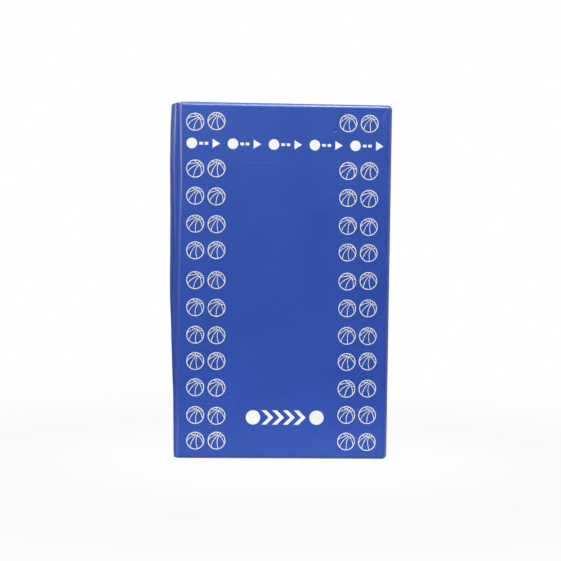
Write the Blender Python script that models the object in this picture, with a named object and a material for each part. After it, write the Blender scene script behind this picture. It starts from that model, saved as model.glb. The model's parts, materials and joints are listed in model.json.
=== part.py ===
"""Tactics folder: two vinyl-covered magnetic boards on a soft spine, with a marker and disc magnets.

Metres, +Z up. The closed folder stands on its lower edges: its front cover faces -Y, its spine is
at -X, and the origin lies on the ground under the middle of the closed folder. The front cover
leans in a little, so that its free edge comes close to the rear cover's, just clear of the magnets.
"""
import math

import bmesh
import bpy
from mathutils import Matrix, Vector

MM = 0.001

# Closed folder
HEIGHT = 415 * MM
COVER_WIDTH = 247 * MM
DEPTH = 21 * MM
SPINE_SWELL = 9.1 * MM
CLOSING_TILT = math.radians(1.9)
CORNER_RADIUS = 5.5 * MM
HINGE_CORNER_RADIUS = 1.2 * MM
FIT = 0.3 * MM

# Layers of a cover, from its outer face inwards
SKIN = 0.8 * MM
BOARD = 2.0 * MM
STEEL = 0.5 * MM
SHEET = 0.5 * MM
LINER = 0.6 * MM
BOARD_DEPTH = SKIN + FIT
STEEL_DEPTH = BOARD_DEPTH + BOARD + FIT
SHEET_DEPTH = STEEL_DEPTH + STEEL + FIT
LINER_DEPTH = SHEET_DEPTH + SHEET + FIT
COVER_DEPTH = LINER_DEPTH + LINER

# Welded lip round a cover, and the slope from it up to the raised faces
LIP = 1.4 * MM
LIP_AT_HINGE = 0.4 * MM
LIP_DEPTH = 2.0 * MM
SKIN_LIP = 0.7 * MM
LINER_LIP_DEPTH = LIP_DEPTH + SKIN_LIP + FIT
LINER_LIP = 0.6 * MM
SLOPE = 2.4 * MM
BOARD_INSET = 2.9 * MM
SHEET_INSET = 3.2 * MM
FRAME_WIDTH = 7.6 * MM

# Hinge webs and spine walls
HINGE_GAP = 1.0 * MM
WEB_RADIUS = 0.55 * MM
SPINE_SKIN = 0.6 * MM
SPINE_LINER = 0.5 * MM
SPINE_CUT_TOP = 3.5 * MM
SPINE_CUT_FOOT = 1.5 * MM

# Where things stand in the closed folder
SPINE_X = -(COVER_WIDTH + HINGE_GAP * 2 + SPINE_SWELL) / 2 + SPINE_SWELL
HINGE_X = SPINE_X + HINGE_GAP
COVER_LEFT = HINGE_X + HINGE_GAP
COVER_RIGHT = COVER_LEFT + COVER_WIDTH
HINGE_Y = DEPTH / 2 - (LIP_DEPTH + LINER_LIP_DEPTH + LINER_LIP) / 2
SPINE_HALF = HINGE_Y + (SPINE_SKIN + FIT + SPINE_LINER) / 2

# Marker, standing in its loop in the spine
MARKER_X = HINGE_X - 2.0 * MM
MARKER_FOOT = 264 * MM
MARKER_RADIUS = 5.0 * MM
LOOP_FOOT = 320 * MM
LOOP_HEIGHT = 24 * MM
LOOP_WALL = 0.8 * MM

# Court on the rear board, and the magnets that stand on it
COURT_SCALE = 13.2 * MM
COURT_X = COVER_LEFT + (LIP_AT_HINGE + COVER_WIDTH - LIP) / 2
COURT_Z = HEIGHT / 2
MAGNET_RADIUS = 10 * MM
MAGNET_THICK = 4.0 * MM
BALL_RADIUS = 8.2 * MM
MAGNET_Y = DEPTH / 2 - LINER_DEPTH
PLAYERS_X = (-5.4, -2.7, 0.0, 2.7, 5.4)
RED_Z = (6.2, 9.6, 4.4, 9.6, 6.2)
YELLOW_Z = (-6.2, -9.6, -4.4, -9.6, -6.2)
BALL_AT = (1.4, 0.0)

# Colours
BLUE_VINYL = (0.042, 0.093, 0.434)
BLUE_LINER = (0.036, 0.080, 0.360)
GREYBOARD = (0.30, 0.28, 0.25)
STEEL_GREY = (0.55, 0.56, 0.57)
COURT_WHITE = (0.83, 0.84, 0.84)
BLACK_PLASTIC = (0.012, 0.012, 0.014)
WHITE_PLASTIC = (0.78, 0.78, 0.77)
FELT_GREY = (0.14, 0.14, 0.15)
INK_BLACK = (0.01, 0.01, 0.01)
FERRITE = (0.035, 0.033, 0.032)
MAGNET_RED = (0.62, 0.018, 0.016)
MAGNET_YELLOW = (0.83, 0.52, 0.02)
BALL_ORANGE = (0.80, 0.19, 0.02)


def clear_scene():
    for thing in list(bpy.data.objects):
        bpy.data.objects.remove(thing, do_unlink=True)


def finish(name, colour, roughness, metallic=0.0):
    """A plain material in the piece's own colour."""
    material = bpy.data.materials.new(name)
    material.use_nodes = True
    shader = material.node_tree.nodes["Principled BSDF"]
    shader.inputs["Base Color"].default_value = (*colour, 1.0)
    shader.inputs["Roughness"].default_value = roughness
    shader.inputs["Metallic"].default_value = metallic
    return material


def pivot(name, place, parent=None):
    """An empty on a joint's axis; whatever moves with the joint is its child."""
    empty = bpy.data.objects.new(name, None)
    empty.empty_display_size = 10 * MM
    bpy.context.scene.collection.objects.link(empty)
    if parent is not None:
        empty.parent = parent
        place = Vector(place) - parent.matrix_world.translation
    empty.location = place
    bpy.context.view_layer.update()
    return empty


def make_object(name, bm, material, parent=None):
    """Turns a bmesh, drawn in the folder's frame, into an object whose origin lies on its pivot."""
    bmesh.ops.recalc_face_normals(bm, faces=bm.faces)
    mesh = bpy.data.meshes.new(name)
    bm.to_mesh(mesh)
    bm.free()
    mesh.materials.append(material)
    mesh.shade_smooth()
    mesh.set_sharp_from_angle(angle=math.radians(35))
    piece = bpy.data.objects.new(name, mesh)
    bpy.context.scene.collection.objects.link(piece)
    if parent is not None:
        mesh.transform(Matrix.Translation(-parent.matrix_world.translation))
        piece.parent = parent
    return piece


def cover_outline(inset):
    """Corner-rounded outline of a cover, drawn in by inset from the foot of its slope, as (x, z)."""
    left = COVER_LEFT + LIP_AT_HINGE + inset
    right = COVER_RIGHT - LIP - inset
    foot = LIP + inset
    top = HEIGHT - LIP - inset
    return rounded_outline(left, right, foot, top, inset + LIP)


def lip_outline():
    """Outer edge of the welded lip, as (x, z)."""
    return rounded_outline(COVER_LEFT, COVER_RIGHT, 0.0, HEIGHT, 0.0)


def rounded_outline(left, right, foot, top, inset):
    """Rectangle with quarter-circle corners: wide ones at the free side, small ones at the hinge."""
    free = max(CORNER_RADIUS - inset, 1.2 * MM)
    hinge = max(HINGE_CORNER_RADIUS - inset, 0.4 * MM)
    corners = (
        (left, foot, hinge, 3, 180),
        (right, foot, free, 6, 270),
        (right, top, free, 6, 0),
        (left, top, hinge, 3, 90),
    )
    points = []
    for x, z, radius, steps, start in corners:
        centre_x = x + radius if x == left else x - radius
        centre_z = z + radius if z == foot else z - radius
        for step in range(steps + 1):
            angle = math.radians(start + 90 * step / steps)
            points.append((centre_x + radius * math.cos(angle), centre_z + radius * math.sin(angle)))
    return points


def ring(bm, outline, y):
    """Corners along an outline, at one depth."""
    return [bm.verts.new((x, y, z)) for x, z in outline]


def face_y(side, depth):
    """The y of a depth below a cover's outer face; side is -1 for the front cover, 1 for the rear."""
    return side * (DEPTH / 2 - depth)


def join_rings(bm, rings, closed=False):
    """Skins neighbouring rings with faces, and the last to the first when closed."""
    pairs = list(zip(rings, rings[1:]))
    if closed:
        pairs.append((rings[-1], rings[0]))
    for one, two in pairs:
        for i in range(len(one)):
            after = (i + 1) % len(one)
            bm.faces.new((one[i], one[after], two[after], two[i]))


def cover_skin(name, side, material, parent=None):
    """Vinyl sheet drawn over the board like a shallow tray, with the flat lip where it is welded."""
    bm = bmesh.new()
    outer = (
        (SLOPE, 0.0),
        (1.7 * MM, 0.2 * MM),
        (1.0 * MM, 0.75 * MM),
        (0.0, LIP_DEPTH),
    )
    inner = (
        (0.9 * MM, LIP_DEPTH + SKIN_LIP),
        (1.9 * MM, 1.45 * MM),
        (2.9 * MM, SKIN),
    )
    rings = [ring(bm, cover_outline(inset), face_y(side, depth)) for inset, depth in outer]
    rings.append(ring(bm, lip_outline(), face_y(side, LIP_DEPTH)))
    rings.append(ring(bm, lip_outline(), face_y(side, LIP_DEPTH + SKIN_LIP)))
    rings += [ring(bm, cover_outline(inset), face_y(side, depth)) for inset, depth in inner]
    join_rings(bm, rings)
    bm.faces.new(rings[0])
    bm.faces.new(rings[-1])
    return make_object(name, bm, material, parent)


def cover_plate(name, side, inset, depth, thickness, material, parent=None):
    """Flat layer inside a cover: greyboard, steel sheet or printed court sheet."""
    bm = bmesh.new()
    face = bm.faces.new(ring(bm, cover_outline(inset), face_y(side, depth)))
    raised = bmesh.ops.extrude_face_region(bm, geom=[face])["geom"]
    verts = [element for element in raised if isinstance(element, bmesh.types.BMVert)]
    bmesh.ops.translate(bm, verts=verts, vec=(0, -side * thickness, 0))
    return make_object(name, bm, material, parent)


def liner_frame(name, side, material, parent=None):
    """Vinyl border that laps over the court sheet's edge and is welded to the skin's lip."""
    bm = bmesh.new()
    lip_top = LINER_LIP_DEPTH
    lip_face = LINER_LIP_DEPTH + LINER_LIP
    opening = SLOPE + FRAME_WIDTH
    profile = (
        (opening, LINER_DEPTH),
        (3.0 * MM, LINER_DEPTH),
        (2.3 * MM, 4.6 * MM),
        (0.9 * MM, lip_top),
    )
    face_profile = (
        (0.0, lip_face),
        (1.0 * MM, 4.85 * MM),
        (1.7 * MM, 5.4 * MM),
        (SLOPE, COVER_DEPTH),
        (opening, COVER_DEPTH),
    )
    rings = [ring(bm, cover_outline(inset), face_y(side, depth)) for inset, depth in profile]
    rings.append(ring(bm, lip_outline(), face_y(side, lip_top)))
    rings.append(ring(bm, lip_outline(), face_y(side, lip_face)))
    rings += [ring(bm, cover_outline(inset), face_y(side, depth)) for inset, depth in face_profile]
    join_rings(bm, rings, closed=True)
    return make_object(name, bm, material, parent)


def spine_swell(z):
    """How far the spine bows out at a height: full beside the marker, tucked in near the foot."""
    stations = (
        (0.0, 1.7 * MM),
        (70 * MM, 2.3 * MM),
        (125 * MM, 4.4 * MM),
        (180 * MM, 7.0 * MM),
        (240 * MM, 7.9 * MM),
        (290 * MM, 8.7 * MM),
        (345 * MM, SPINE_SWELL),
        (HEIGHT, 8.6 * MM),
    )
    for (low, at_low), (high, at_high) in zip(stations, stations[1:]):
        if z <= high:
            share = (z - low) / (high - low)
            return at_low + (at_high - at_low) * share
    return stations[-1][1]


def spine_sheet(name, depth, thickness, material, parent):
    """Vinyl bent to a half oval between the two hinges, depth in from the spine's outer surface."""
    rows, steps = 16, 12
    bm = bmesh.new()
    walls = []
    for inset in (depth, depth + thickness):
        grid = []
        for row in range(rows + 1):
            share = row / rows
            swell = spine_swell(HEIGHT * share) - inset
            half = SPINE_HALF - inset
            line = []
            for step in range(steps + 1):
                angle = math.pi * (step / steps - 0.5)
                out = math.cos(angle)
                low = SPINE_CUT_FOOT * out ** 2
                high = HEIGHT - SPINE_CUT_TOP * out ** 2
                at = (SPINE_X - swell * out, half * math.sin(angle), low + (high - low) * share)
                line.append(bm.verts.new(at))
            grid.append(line)
        walls.append(grid)
    outer, inner = walls
    for row in range(rows):
        for step in range(steps):
            for wall in walls:
                corners = (wall[row][step], wall[row][step + 1])
                bm.faces.new(corners + (wall[row + 1][step + 1], wall[row + 1][step]))
    for row in range(rows):
        for step in (0, steps):
            near = (outer[row][step], outer[row + 1][step])
            bm.faces.new(near + (inner[row + 1][step], inner[row][step]))
    for step in range(steps):
        for row in (0, rows):
            near = (outer[row][step], outer[row][step + 1])
            bm.faces.new(near + (inner[row][step + 1], inner[row][step]))
    return make_object(name, bm, material, parent)


def hinge_web(name, side, material, parent=None):
    """Welded bead of vinyl on a hinge's axis, where skin and liner are pressed into one."""
    bm = bmesh.new()
    bmesh.ops.create_cone(
        bm,
        cap_ends=True,
        segments=10,
        radius1=WEB_RADIUS,
        radius2=WEB_RADIUS,
        depth=HEIGHT - 2 * MM,
        matrix=Matrix.Translation((HINGE_X, side * HINGE_Y, HEIGHT / 2)),
    )
    return make_object(name, bm, material, parent)


def turned(name, profile, centre, direction, steps, material, parent=None):
    """Turns a profile of (radius, distance along direction) round a line through centre.

    A profile that starts and ends on the axis makes a full body; any other is a closed ring.
    """
    bm = bmesh.new()
    verts = [bm.verts.new((radius, 0, along)) for radius, along in profile]
    solid = profile[0][0] == 0.0 and profile[-1][0] == 0.0
    edges = [bm.edges.new(pair) for pair in zip(verts, verts[1:])]
    if not solid:
        edges.append(bm.edges.new((verts[-1], verts[0])))
    bmesh.ops.spin(
        bm,
        geom=verts + edges,
        cent=(0, 0, 0),
        axis=(0, 0, 1),
        angle=math.tau,
        steps=steps,
        use_merge=True,
    )
    bmesh.ops.remove_doubles(bm, verts=bm.verts, dist=0.00001)
    turn = Vector((0, 0, 1)).rotation_difference(Vector(direction)).to_matrix().to_4x4()
    bm.transform(Matrix.Translation(centre) @ turn)
    return make_object(name, bm, material, parent)


def build_cover(word, side, vinyl, liner, parent=None):
    """The five layers of one cover."""
    board = finish(f"{word}_greyboard", GREYBOARD, 0.9)
    steel = finish(f"{word}_steel", STEEL_GREY, 0.35, 1.0)
    court = finish(f"{word}_court_white", COURT_WHITE, 0.25)
    cover_skin(f"{word}_cover_skin", side, vinyl, parent)
    cover_plate(f"{word}_cover_board", side, BOARD_INSET, BOARD_DEPTH, BOARD, board, parent)
    cover_plate(f"{word}_steel_sheet", side, SHEET_INSET, STEEL_DEPTH, STEEL, steel, parent)
    cover_plate(f"{word}_court_sheet", side, SHEET_INSET, SHEET_DEPTH, SHEET, court, parent)
    liner_frame(f"{word}_liner_frame", side, liner, parent)


def build_spine(vinyl, liner, spine):
    """Spine skin and liner, the two hinge webs, and the loop for the marker."""
    spine_sheet("spine_skin", 0.0, SPINE_SKIN, vinyl, spine)
    spine_sheet("spine_liner", SPINE_SKIN + FIT, SPINE_LINER, liner, spine)
    hinge_web("front_hinge_web", -1, vinyl, spine)
    hinge_web("rear_hinge_web", 1, vinyl, spine)
    bore = MARKER_RADIUS + FIT
    loop = (
        (bore, 0.0),
        (bore + LOOP_WALL, 0.0),
        (bore + LOOP_WALL, LOOP_HEIGHT),
        (bore, LOOP_HEIGHT),
    )
    elastic = finish("loop_elastic", BLACK_PLASTIC, 0.8)
    turned("pen_loop", loop, (MARKER_X, 0, LOOP_FOOT), (0, 0, 1), 28, elastic, spine)


def build_marker(marker, cap):
    """Dry-wipe marker: barrel, end plug, ink core and nib, and a cap with a felt eraser in its end."""
    foot = (MARKER_X, 0, MARKER_FOOT)
    up = (0, 0, 1)
    r = MARKER_RADIUS
    barrel = (
        (4.0 * MM, 2.3 * MM),
        (r - 0.3 * MM, 2.3 * MM),
        (r, 2.8 * MM),
        (r, 95.5 * MM),
        (r - 0.3 * MM, 96.0 * MM),
        (3.9 * MM, 96.0 * MM),
        (3.9 * MM, 108.0 * MM),
        (2.7 * MM, 113.0 * MM),
        (1.9 * MM, 113.0 * MM),
        (1.9 * MM, 95.0 * MM),
        (4.0 * MM, 93.5 * MM),
    )
    plug = (
        (0.0, 0.0),
        (r - 0.8 * MM, 0.0),
        (r, 0.8 * MM),
        (r, 2.0 * MM),
        (3.7 * MM, 2.0 * MM),
        (3.7 * MM, 7.0 * MM),
        (0.0, 7.0 * MM),
    )
    core = (
        (0.0, 7.5 * MM),
        (3.5 * MM, 7.5 * MM),
        (3.5 * MM, 91.0 * MM),
        (0.0, 91.0 * MM),
    )
    nib = (
        (0.0, 91.4 * MM),
        (1.6 * MM, 91.4 * MM),
        (1.6 * MM, 114.5 * MM),
        (1.2 * MM, 116.3 * MM),
        (0.0, 117.0 * MM),
    )
    hood = (
        (0.0, 123.6 * MM),
        (3.6 * MM, 123.6 * MM),
        (4.25 * MM, 122.0 * MM),
        (4.25 * MM, 96.3 * MM),
        (r - 0.25 * MM, 96.3 * MM),
        (r, 96.8 * MM),
        (r, 128.6 * MM),
        (4.5 * MM, 128.9 * MM),
        (4.5 * MM, 125.6 * MM),
        (0.0, 125.6 * MM),
    )
    eraser = (
        (0.0, 125.9 * MM),
        (4.2 * MM, 125.9 * MM),
        (4.2 * MM, 131.2 * MM),
        (3.6 * MM, 132.0 * MM),
        (0.0, 132.2 * MM),
    )
    white = finish("marker_white", WHITE_PLASTIC, 0.3)
    black = finish("marker_black", BLACK_PLASTIC, 0.35)
    ink = finish("marker_ink", INK_BLACK, 0.9)
    felt = finish("eraser_felt", FELT_GREY, 0.95)
    turned("marker_barrel", barrel, foot, up, 24, white, marker)
    turned("marker_end_plug", plug, foot, up, 24, black, marker)
    turned("marker_ink_core", core, foot, up, 16, ink, marker)
    turned("marker_nib", nib, foot, up, 16, ink, marker)
    turned("marker_cap", hood, foot, up, 24, black, cap)
    turned("cap_eraser", eraser, foot, up, 24, felt, cap)


def build_magnet(word, place, radius, domed, shell_finish, core_finish):
    """Moulded disc with a magnet core in its underside, on its own pivot."""
    t = MAGNET_THICK
    rim = radius - 2.2 * MM
    top = ((radius - 0.9 * MM, t), (rim + 0.3 * MM, t), (rim, t - 0.3 * MM), (0.0, t - 0.3 * MM))
    if domed:
        top = ((radius - 0.8 * MM, t - 0.4 * MM), (rim, t), (0.0, t + 0.3 * MM))
    shell = (
        (0.0, 1.9 * MM),
        (rim - 0.3 * MM, 1.9 * MM),
        (rim - 0.3 * MM, 0.0),
        (radius - 0.4 * MM, 0.0),
        (radius, 0.4 * MM),
        (radius, t - 1.0 * MM),
    ) + top
    core = (
        (0.0, 0.1 * MM),
        (rim - 0.6 * MM, 0.1 * MM),
        (rim - 0.6 * MM, 1.6 * MM),
        (0.0, 1.6 * MM),
    )
    centre = (COURT_X + place[0] * COURT_SCALE, MAGNET_Y, COURT_Z + place[1] * COURT_SCALE)
    slider = pivot(f"{word}_slider", centre)
    turned(f"{word}_shell", shell, centre, (0, -1, 0), 24, shell_finish, slider)
    turned(f"{word}_core", core, centre, (0, -1, 0), 20, core_finish, slider)


def build_magnets():
    red = finish("magnet_red", MAGNET_RED, 0.35)
    yellow = finish("magnet_yellow", MAGNET_YELLOW, 0.35)
    orange = finish("magnet_orange", BALL_ORANGE, 0.4)
    ferrite = finish("magnet_ferrite", FERRITE, 0.6)
    for number, (x, z) in enumerate(zip(PLAYERS_X, RED_Z), 1):
        build_magnet(f"red_magnet_{number}", (x, z), MAGNET_RADIUS, False, red, ferrite)
    for number, (x, z) in enumerate(zip(PLAYERS_X, YELLOW_Z), 1):
        build_magnet(f"yellow_magnet_{number}", (x, z), MAGNET_RADIUS, False, yellow, ferrite)
    build_magnet("ball_magnet", BALL_AT, BALL_RADIUS, True, orange, ferrite)


def main():
    clear_scene()
    vinyl = finish("blue_vinyl", BLUE_VINYL, 0.45)
    liner = finish("blue_liner_vinyl", BLUE_LINER, 0.5)
    spine = pivot("rear_hinge_pivot", (HINGE_X, HINGE_Y, 0))
    front = pivot("front_hinge_pivot", (HINGE_X, -HINGE_Y, 0), spine)
    front.rotation_euler.z = CLOSING_TILT
    marker = pivot("marker_pivot", (MARKER_X, 0, MARKER_FOOT), spine)
    cap = pivot("cap_pivot", (MARKER_X, 0, MARKER_FOOT + 96.3 * MM), marker)
    build_cover("rear", 1, vinyl, liner)
    build_cover("front", -1, vinyl, liner, front)
    build_spine(vinyl, liner, spine)
    build_marker(marker, cap)
    build_magnets()


main()
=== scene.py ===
"""Looks of the tactics folder: two vinyl-covered boards on a soft spine, closed and standing upright.

Shapes are worked out in millimetres and go into their meshes in metres. The front cover faces -Y,
the spine is at -X, and the folder stands on z = 0. In a grid, rows run up and columns run across.
"""
import json
import math

import bmesh
import bpy
import numpy as np
from mathutils import Matrix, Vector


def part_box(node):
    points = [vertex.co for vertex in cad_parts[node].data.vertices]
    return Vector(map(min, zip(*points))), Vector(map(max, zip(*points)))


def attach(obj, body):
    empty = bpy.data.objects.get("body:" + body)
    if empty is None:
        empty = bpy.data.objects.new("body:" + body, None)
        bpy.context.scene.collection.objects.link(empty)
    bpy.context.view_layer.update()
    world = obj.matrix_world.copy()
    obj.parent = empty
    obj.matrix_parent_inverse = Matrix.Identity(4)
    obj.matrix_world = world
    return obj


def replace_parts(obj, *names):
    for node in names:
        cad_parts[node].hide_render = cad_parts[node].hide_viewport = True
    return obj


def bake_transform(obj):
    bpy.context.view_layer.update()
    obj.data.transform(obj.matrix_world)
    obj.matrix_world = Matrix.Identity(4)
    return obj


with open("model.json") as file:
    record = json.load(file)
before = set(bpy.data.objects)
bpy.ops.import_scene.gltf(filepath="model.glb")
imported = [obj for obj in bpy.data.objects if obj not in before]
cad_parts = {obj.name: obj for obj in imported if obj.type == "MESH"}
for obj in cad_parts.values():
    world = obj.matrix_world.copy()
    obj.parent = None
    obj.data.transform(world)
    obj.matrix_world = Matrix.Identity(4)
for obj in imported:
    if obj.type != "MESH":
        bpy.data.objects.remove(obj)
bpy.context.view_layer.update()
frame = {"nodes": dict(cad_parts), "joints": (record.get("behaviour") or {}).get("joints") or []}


# Camera
# A long lens at the photograph's angle: a little above the middle of the cover, turned slightly
# towards the free edge, and rolled by less than a degree.
aim = np.array((1.1, -7.0, 209.0))
aim_distance, picture_size = 1817.5, 561
yaw, pitch, roll = (math.radians(angle) for angle in (1.83, -2.22, 0.83))
forward = np.array((
    math.sin(yaw) * math.cos(pitch),
    math.cos(yaw) * math.cos(pitch),
    math.sin(pitch),
))
level_right = np.array((math.cos(yaw), -math.sin(yaw), 0.0))
level_up = np.cross(level_right, forward)
right = math.cos(roll) * level_right + math.sin(roll) * level_up
up = math.cos(roll) * level_up - math.sin(roll) * level_right
turn = Matrix(np.column_stack((right, up, -forward)).tolist()).to_4x4()
camera = bpy.data.objects.new("camera", bpy.data.cameras.new("camera"))
camera.data.lens = 100
camera.data.sensor_width = 36
camera.matrix_world = Matrix.Translation((aim - forward * aim_distance) / 1000) @ turn
bpy.context.scene.collection.objects.link(camera)
bpy.context.scene.camera = camera


# Cover skins
# Soft blue PVC sheet, heat-formed over a greyboard and welded to the liner round a narrow lip. Both
# covers are one pressing; the front one leans in on its hinge, as nothing but the magnets holds it.
skin_low, skin_high = (1000 * np.array(corner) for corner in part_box("rear_cover_skin"))
cover_left, outer_y, cover_right, cover_top = skin_low[0], skin_high[1], skin_high[0], skin_high[2]
hinges = {joint["name"]: joint for joint in frame["joints"] if joint["type"] == "hinge"}
hinge_x, hinge_y = 1000 * np.array(hinges["rear_hinge"]["pos_m"][:2])
closing_tilt = math.radians(hinges["front_hinge"]["range_deg"][1] - 90)
lip, lip_at_hinge, lip_depth, lip_wall, skin_wall, rim_round = 1.4, 0.4, 2.0, 0.99, 0.8, 0.15
slope, free_corner, hinge_corner, inner_corner = 2.4, 5.5, 1.2, 0.4
weld_groove, board_edge, pucker, pucker_reach, unevenness = 0.10, 0.045, 0.13, 7.5, 0.02
dents = ((-56.4, 384.0, 1.3, 0.12), (62.6, 384.4, 1.7, 0.22), (92.0, 60.0, 3.0, 0.07))
creases = ((-21.0, 346.1, 29.0, 0.045), (-16.0, 335.0, 13.0, 0.030), (57.0, 313.4, 13.0, 0.050))
swelling_heights = (0, 60, 250, 310, 365, 398, 408, 412)
swelling_sizes = (0.02, 0.0, 0.02, 0.08, 0.20, 0.20, 0.08, 0.0)
bend_heights = (0, 33, 56, 150, 196, 265, 312, 335, 358, 388, 405)
bend_at = (0.9, 1.6, 1.5, 1.1, 1.1, 1.2, 2.1, 2.0, 1.5, 0.7, 0.5)
bend_whiteness = (0.16, 0.26, 0.08, 0.03, 0.15, 0.27, 0.40, 0.50, 0.70, 0.98, 1.0)


def bell(value, centre, width, power=2):
    """A curve that is 1 at its centre and 0.37 a width away; a greater power flattens its top."""
    return np.exp(-(((value - centre) / width) ** power))


def step_at(value, middle, width):
    """A smooth step from 0 up to 1 about a middle, or down to 0 where the width is negative."""
    return 1 / (1 + np.exp(np.clip((middle - value) / width, -30, 30)))


def stations(*stops):
    """Places along a line, from stops of (place, number of steps since the stop before)."""
    parts = [np.array([float(stops[0][0])])]
    for (start, _), (end, steps) in zip(stops, stops[1:]):
        parts.append(np.linspace(start, end, steps + 1)[1:])
    return np.concatenate(parts)


def quads(rows, columns, wrap_rows=False, wrap_columns=False):
    """Corner numbers of a grid's faces, which look towards -Y where x and z grow along the grid."""
    i = np.arange(rows if wrap_rows else rows - 1)
    j = np.arange(columns if wrap_columns else columns - 1)
    i, j = np.meshgrid(i, j, indexing="ij")
    next_i, next_j = (i + 1) % rows, (j + 1) % columns
    corners = (i * columns + j, i * columns + next_j, next_i * columns + next_j, next_i * columns + j)
    return np.stack(corners, axis=-1).reshape(-1, 4)


def rim_of(rows, columns):
    """Corner numbers round a grid's edge: foot, right side, top, then left side."""
    return np.concatenate((
        np.arange(columns),
        np.arange(1, rows) * columns + columns - 1,
        (rows - 1) * columns + np.arange(columns - 2, -1, -1),
        np.arange(rows - 2, 0, -1) * columns,
    ))


def gathered(parts):
    """Several (points, list of face arrays) as one, with the later corner numbers moved on."""
    start, points, faces = 0, [], []
    for part_points, part_faces in parts:
        points.append(part_points)
        faces += [array + start for array in part_faces]
        start += len(part_points)
    return np.concatenate(points), faces


def shell(outer, inner, rings=()):
    """Closes two grids of points into a wall: the outer one, the inner one turned round, and bands
    from the outer rim through any rings between to the inner rim."""
    rows, columns = outer.shape[:2]
    rim = rim_of(rows, columns)
    size = rows * columns
    points = np.concatenate([outer.reshape(-1, 3), inner.reshape(-1, 3), *rings])
    lines = [rim] + [2 * size + k * len(rim) + np.arange(len(rim)) for k in range(len(rings))]
    lines.append(rim + size)
    faces = [quads(rows, columns), quads(rows, columns)[:, ::-1] + size]
    for near, far in zip(lines, lines[1:]):
        faces.append(np.stack((np.roll(near, -1), near, far, np.roll(far, -1)), axis=-1))
    return points, faces


def make_piece(name, points, faces, material, mirrored=False, **masks):
    """A smooth mesh object from points in millimetres. Masks are one value for each point, kept as
    attributes that the material reads. A mirrored piece has its faces turned back outwards."""
    mesh = bpy.data.meshes.new(name)
    corners = [face for array in faces for face in (array[:, ::-1] if mirrored else array).tolist()]
    mesh.from_pydata((points / 1000).tolist(), [], corners)
    mesh.polygons.foreach_set("use_smooth", np.ones(len(mesh.polygons), bool))
    for mask, values in masks.items():
        mesh.attributes.new(mask, "FLOAT", "POINT").data.foreach_set("value", values.astype(np.float32))
    mesh.materials.append(material)
    made = bpy.data.objects.new(name, mesh)
    bpy.context.scene.collection.objects.link(made)
    return made


def lean(points):
    """Turns points about the front hinge's axis to where the closed front cover stands."""
    sin, cos = math.sin(closing_tilt), math.cos(closing_tilt)
    x, y, z = np.moveaxis(points, -1, 0)
    x, y = x - hinge_x, y + hinge_y
    return np.stack((hinge_x + cos * x - sin * y, sin * x + cos * y - hinge_y, z), axis=-1)


def inward_of(x, z):
    """How far points lie inside the lip's inner outline: the distance to the nearest side or, within
    a corner's square, to the corner's arc."""
    from_left, from_right = x - cover_left - lip_at_hinge, cover_right - lip - x
    across = np.minimum(from_left, from_right)
    along = np.minimum(z - lip, cover_top - lip - z)
    radius = np.where(from_left < from_right, inner_corner, free_corner - lip)
    to_arc = radius - np.hypot(radius - across, radius - along)
    return np.where((across < radius) & (along < radius), to_arc, np.minimum(across, along))


def cover_grid(inset, columns, rows):
    """x and z over a cover, for columns in millimetres from its hinge side and rows from its foot.
    Each row is drawn in at both ends by the corner arcs, and its columns close up to suit."""
    width = cover_right - cover_left
    z = inset + rows * (cover_top - 2 * inset) / cover_top
    from_end = np.minimum(z, cover_top - z) - inset

    def drawn_in(radius):
        past = np.clip(radius - from_end, 0, radius)
        return radius - np.sqrt(radius**2 - past**2) + inset

    at_hinge, at_free = drawn_in(hinge_corner - inset), drawn_in(free_corner - inset)
    share = columns / width
    x = cover_left + columns + np.outer(at_hinge, 1 - share) - np.outer(at_free, share)
    return x, np.repeat(z[:, None], len(columns), axis=1)


def formed_depth(x, z):
    """Depth of the pressed sheet below the cover's face: a flat lip with a weld groove at its inner
    side, a slope that rounds over into the face, a faint rise where the board's edge shows through,
    small puckers on the slope at the free corners, and a slow unevenness of the stretched sheet."""
    inward = inward_of(x, z)
    depth = lip_depth * (1 - np.clip(inward / slope, 0, 1)) ** 1.9
    depth += weld_groove * bell(inward, -0.10, 0.16) - board_edge * bell(inward, slope + 1.5, 0.8)
    depth += 0.02 * np.clip((inward - slope - 2.5) / 6, 0, 1)
    beside, above = cover_right - x, np.minimum(z, cover_top - z)
    near = bell(inward, 0.9, 0.8) * bell(np.hypot(beside, above), 0, pucker_reach, 4)
    depth += pucker * near * np.cos(11 * np.arctan2(above - pucker_reach, beside - pucker_reach) + 0.7)
    slow = np.sin(x / 31 + 0.6) * np.sin(z / 43 + 1.1) + 0.6 * np.sin(x / 17 - z / 29)
    return depth + unevenness * np.clip((inward - 4) / 20, 0, 1) * slow


def dented(x, z):
    """Depth of what the front face has picked up: dents of (x, z, radius, depth), level creases of
    (middle, height, half length, depth), a swelling where the sheet has crept off the board beside
    the free edge, and a fold that runs in from the top free corner."""
    depth = sum(deep * bell(np.hypot(x - u, z - v), 0, size) for u, v, size, deep in dents)
    for middle, height, half, deep in creases:
        depth += deep * bell(z, height, 0.9) * bell(x, middle, half, 6)
    beside, below = cover_right - x - 5.4, cover_top - z - 3.5
    depth -= np.interp(z, swelling_heights, swelling_sizes) * bell(beside, 1.8, 3.0)
    across, along = 0.89 * beside - 0.45 * below, 0.45 * beside + 0.89 * below
    return depth + 0.20 * bell(across, 1.3, 1.6) * bell(along, 5.5, 7.5, 4)


def pale_fold_line(z, place, heights, centres, whiteness, width):
    """How white the vinyl is along a fold that wanders with height, as stress whitening and painted
    highlight: a bell curve across the fold, about a centre and with a peak that are each read off between
    stations."""
    centre, peak = np.interp(z, heights, centres), np.interp(z, heights, whiteness)
    return peak * bell(place, centre, width)


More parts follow.
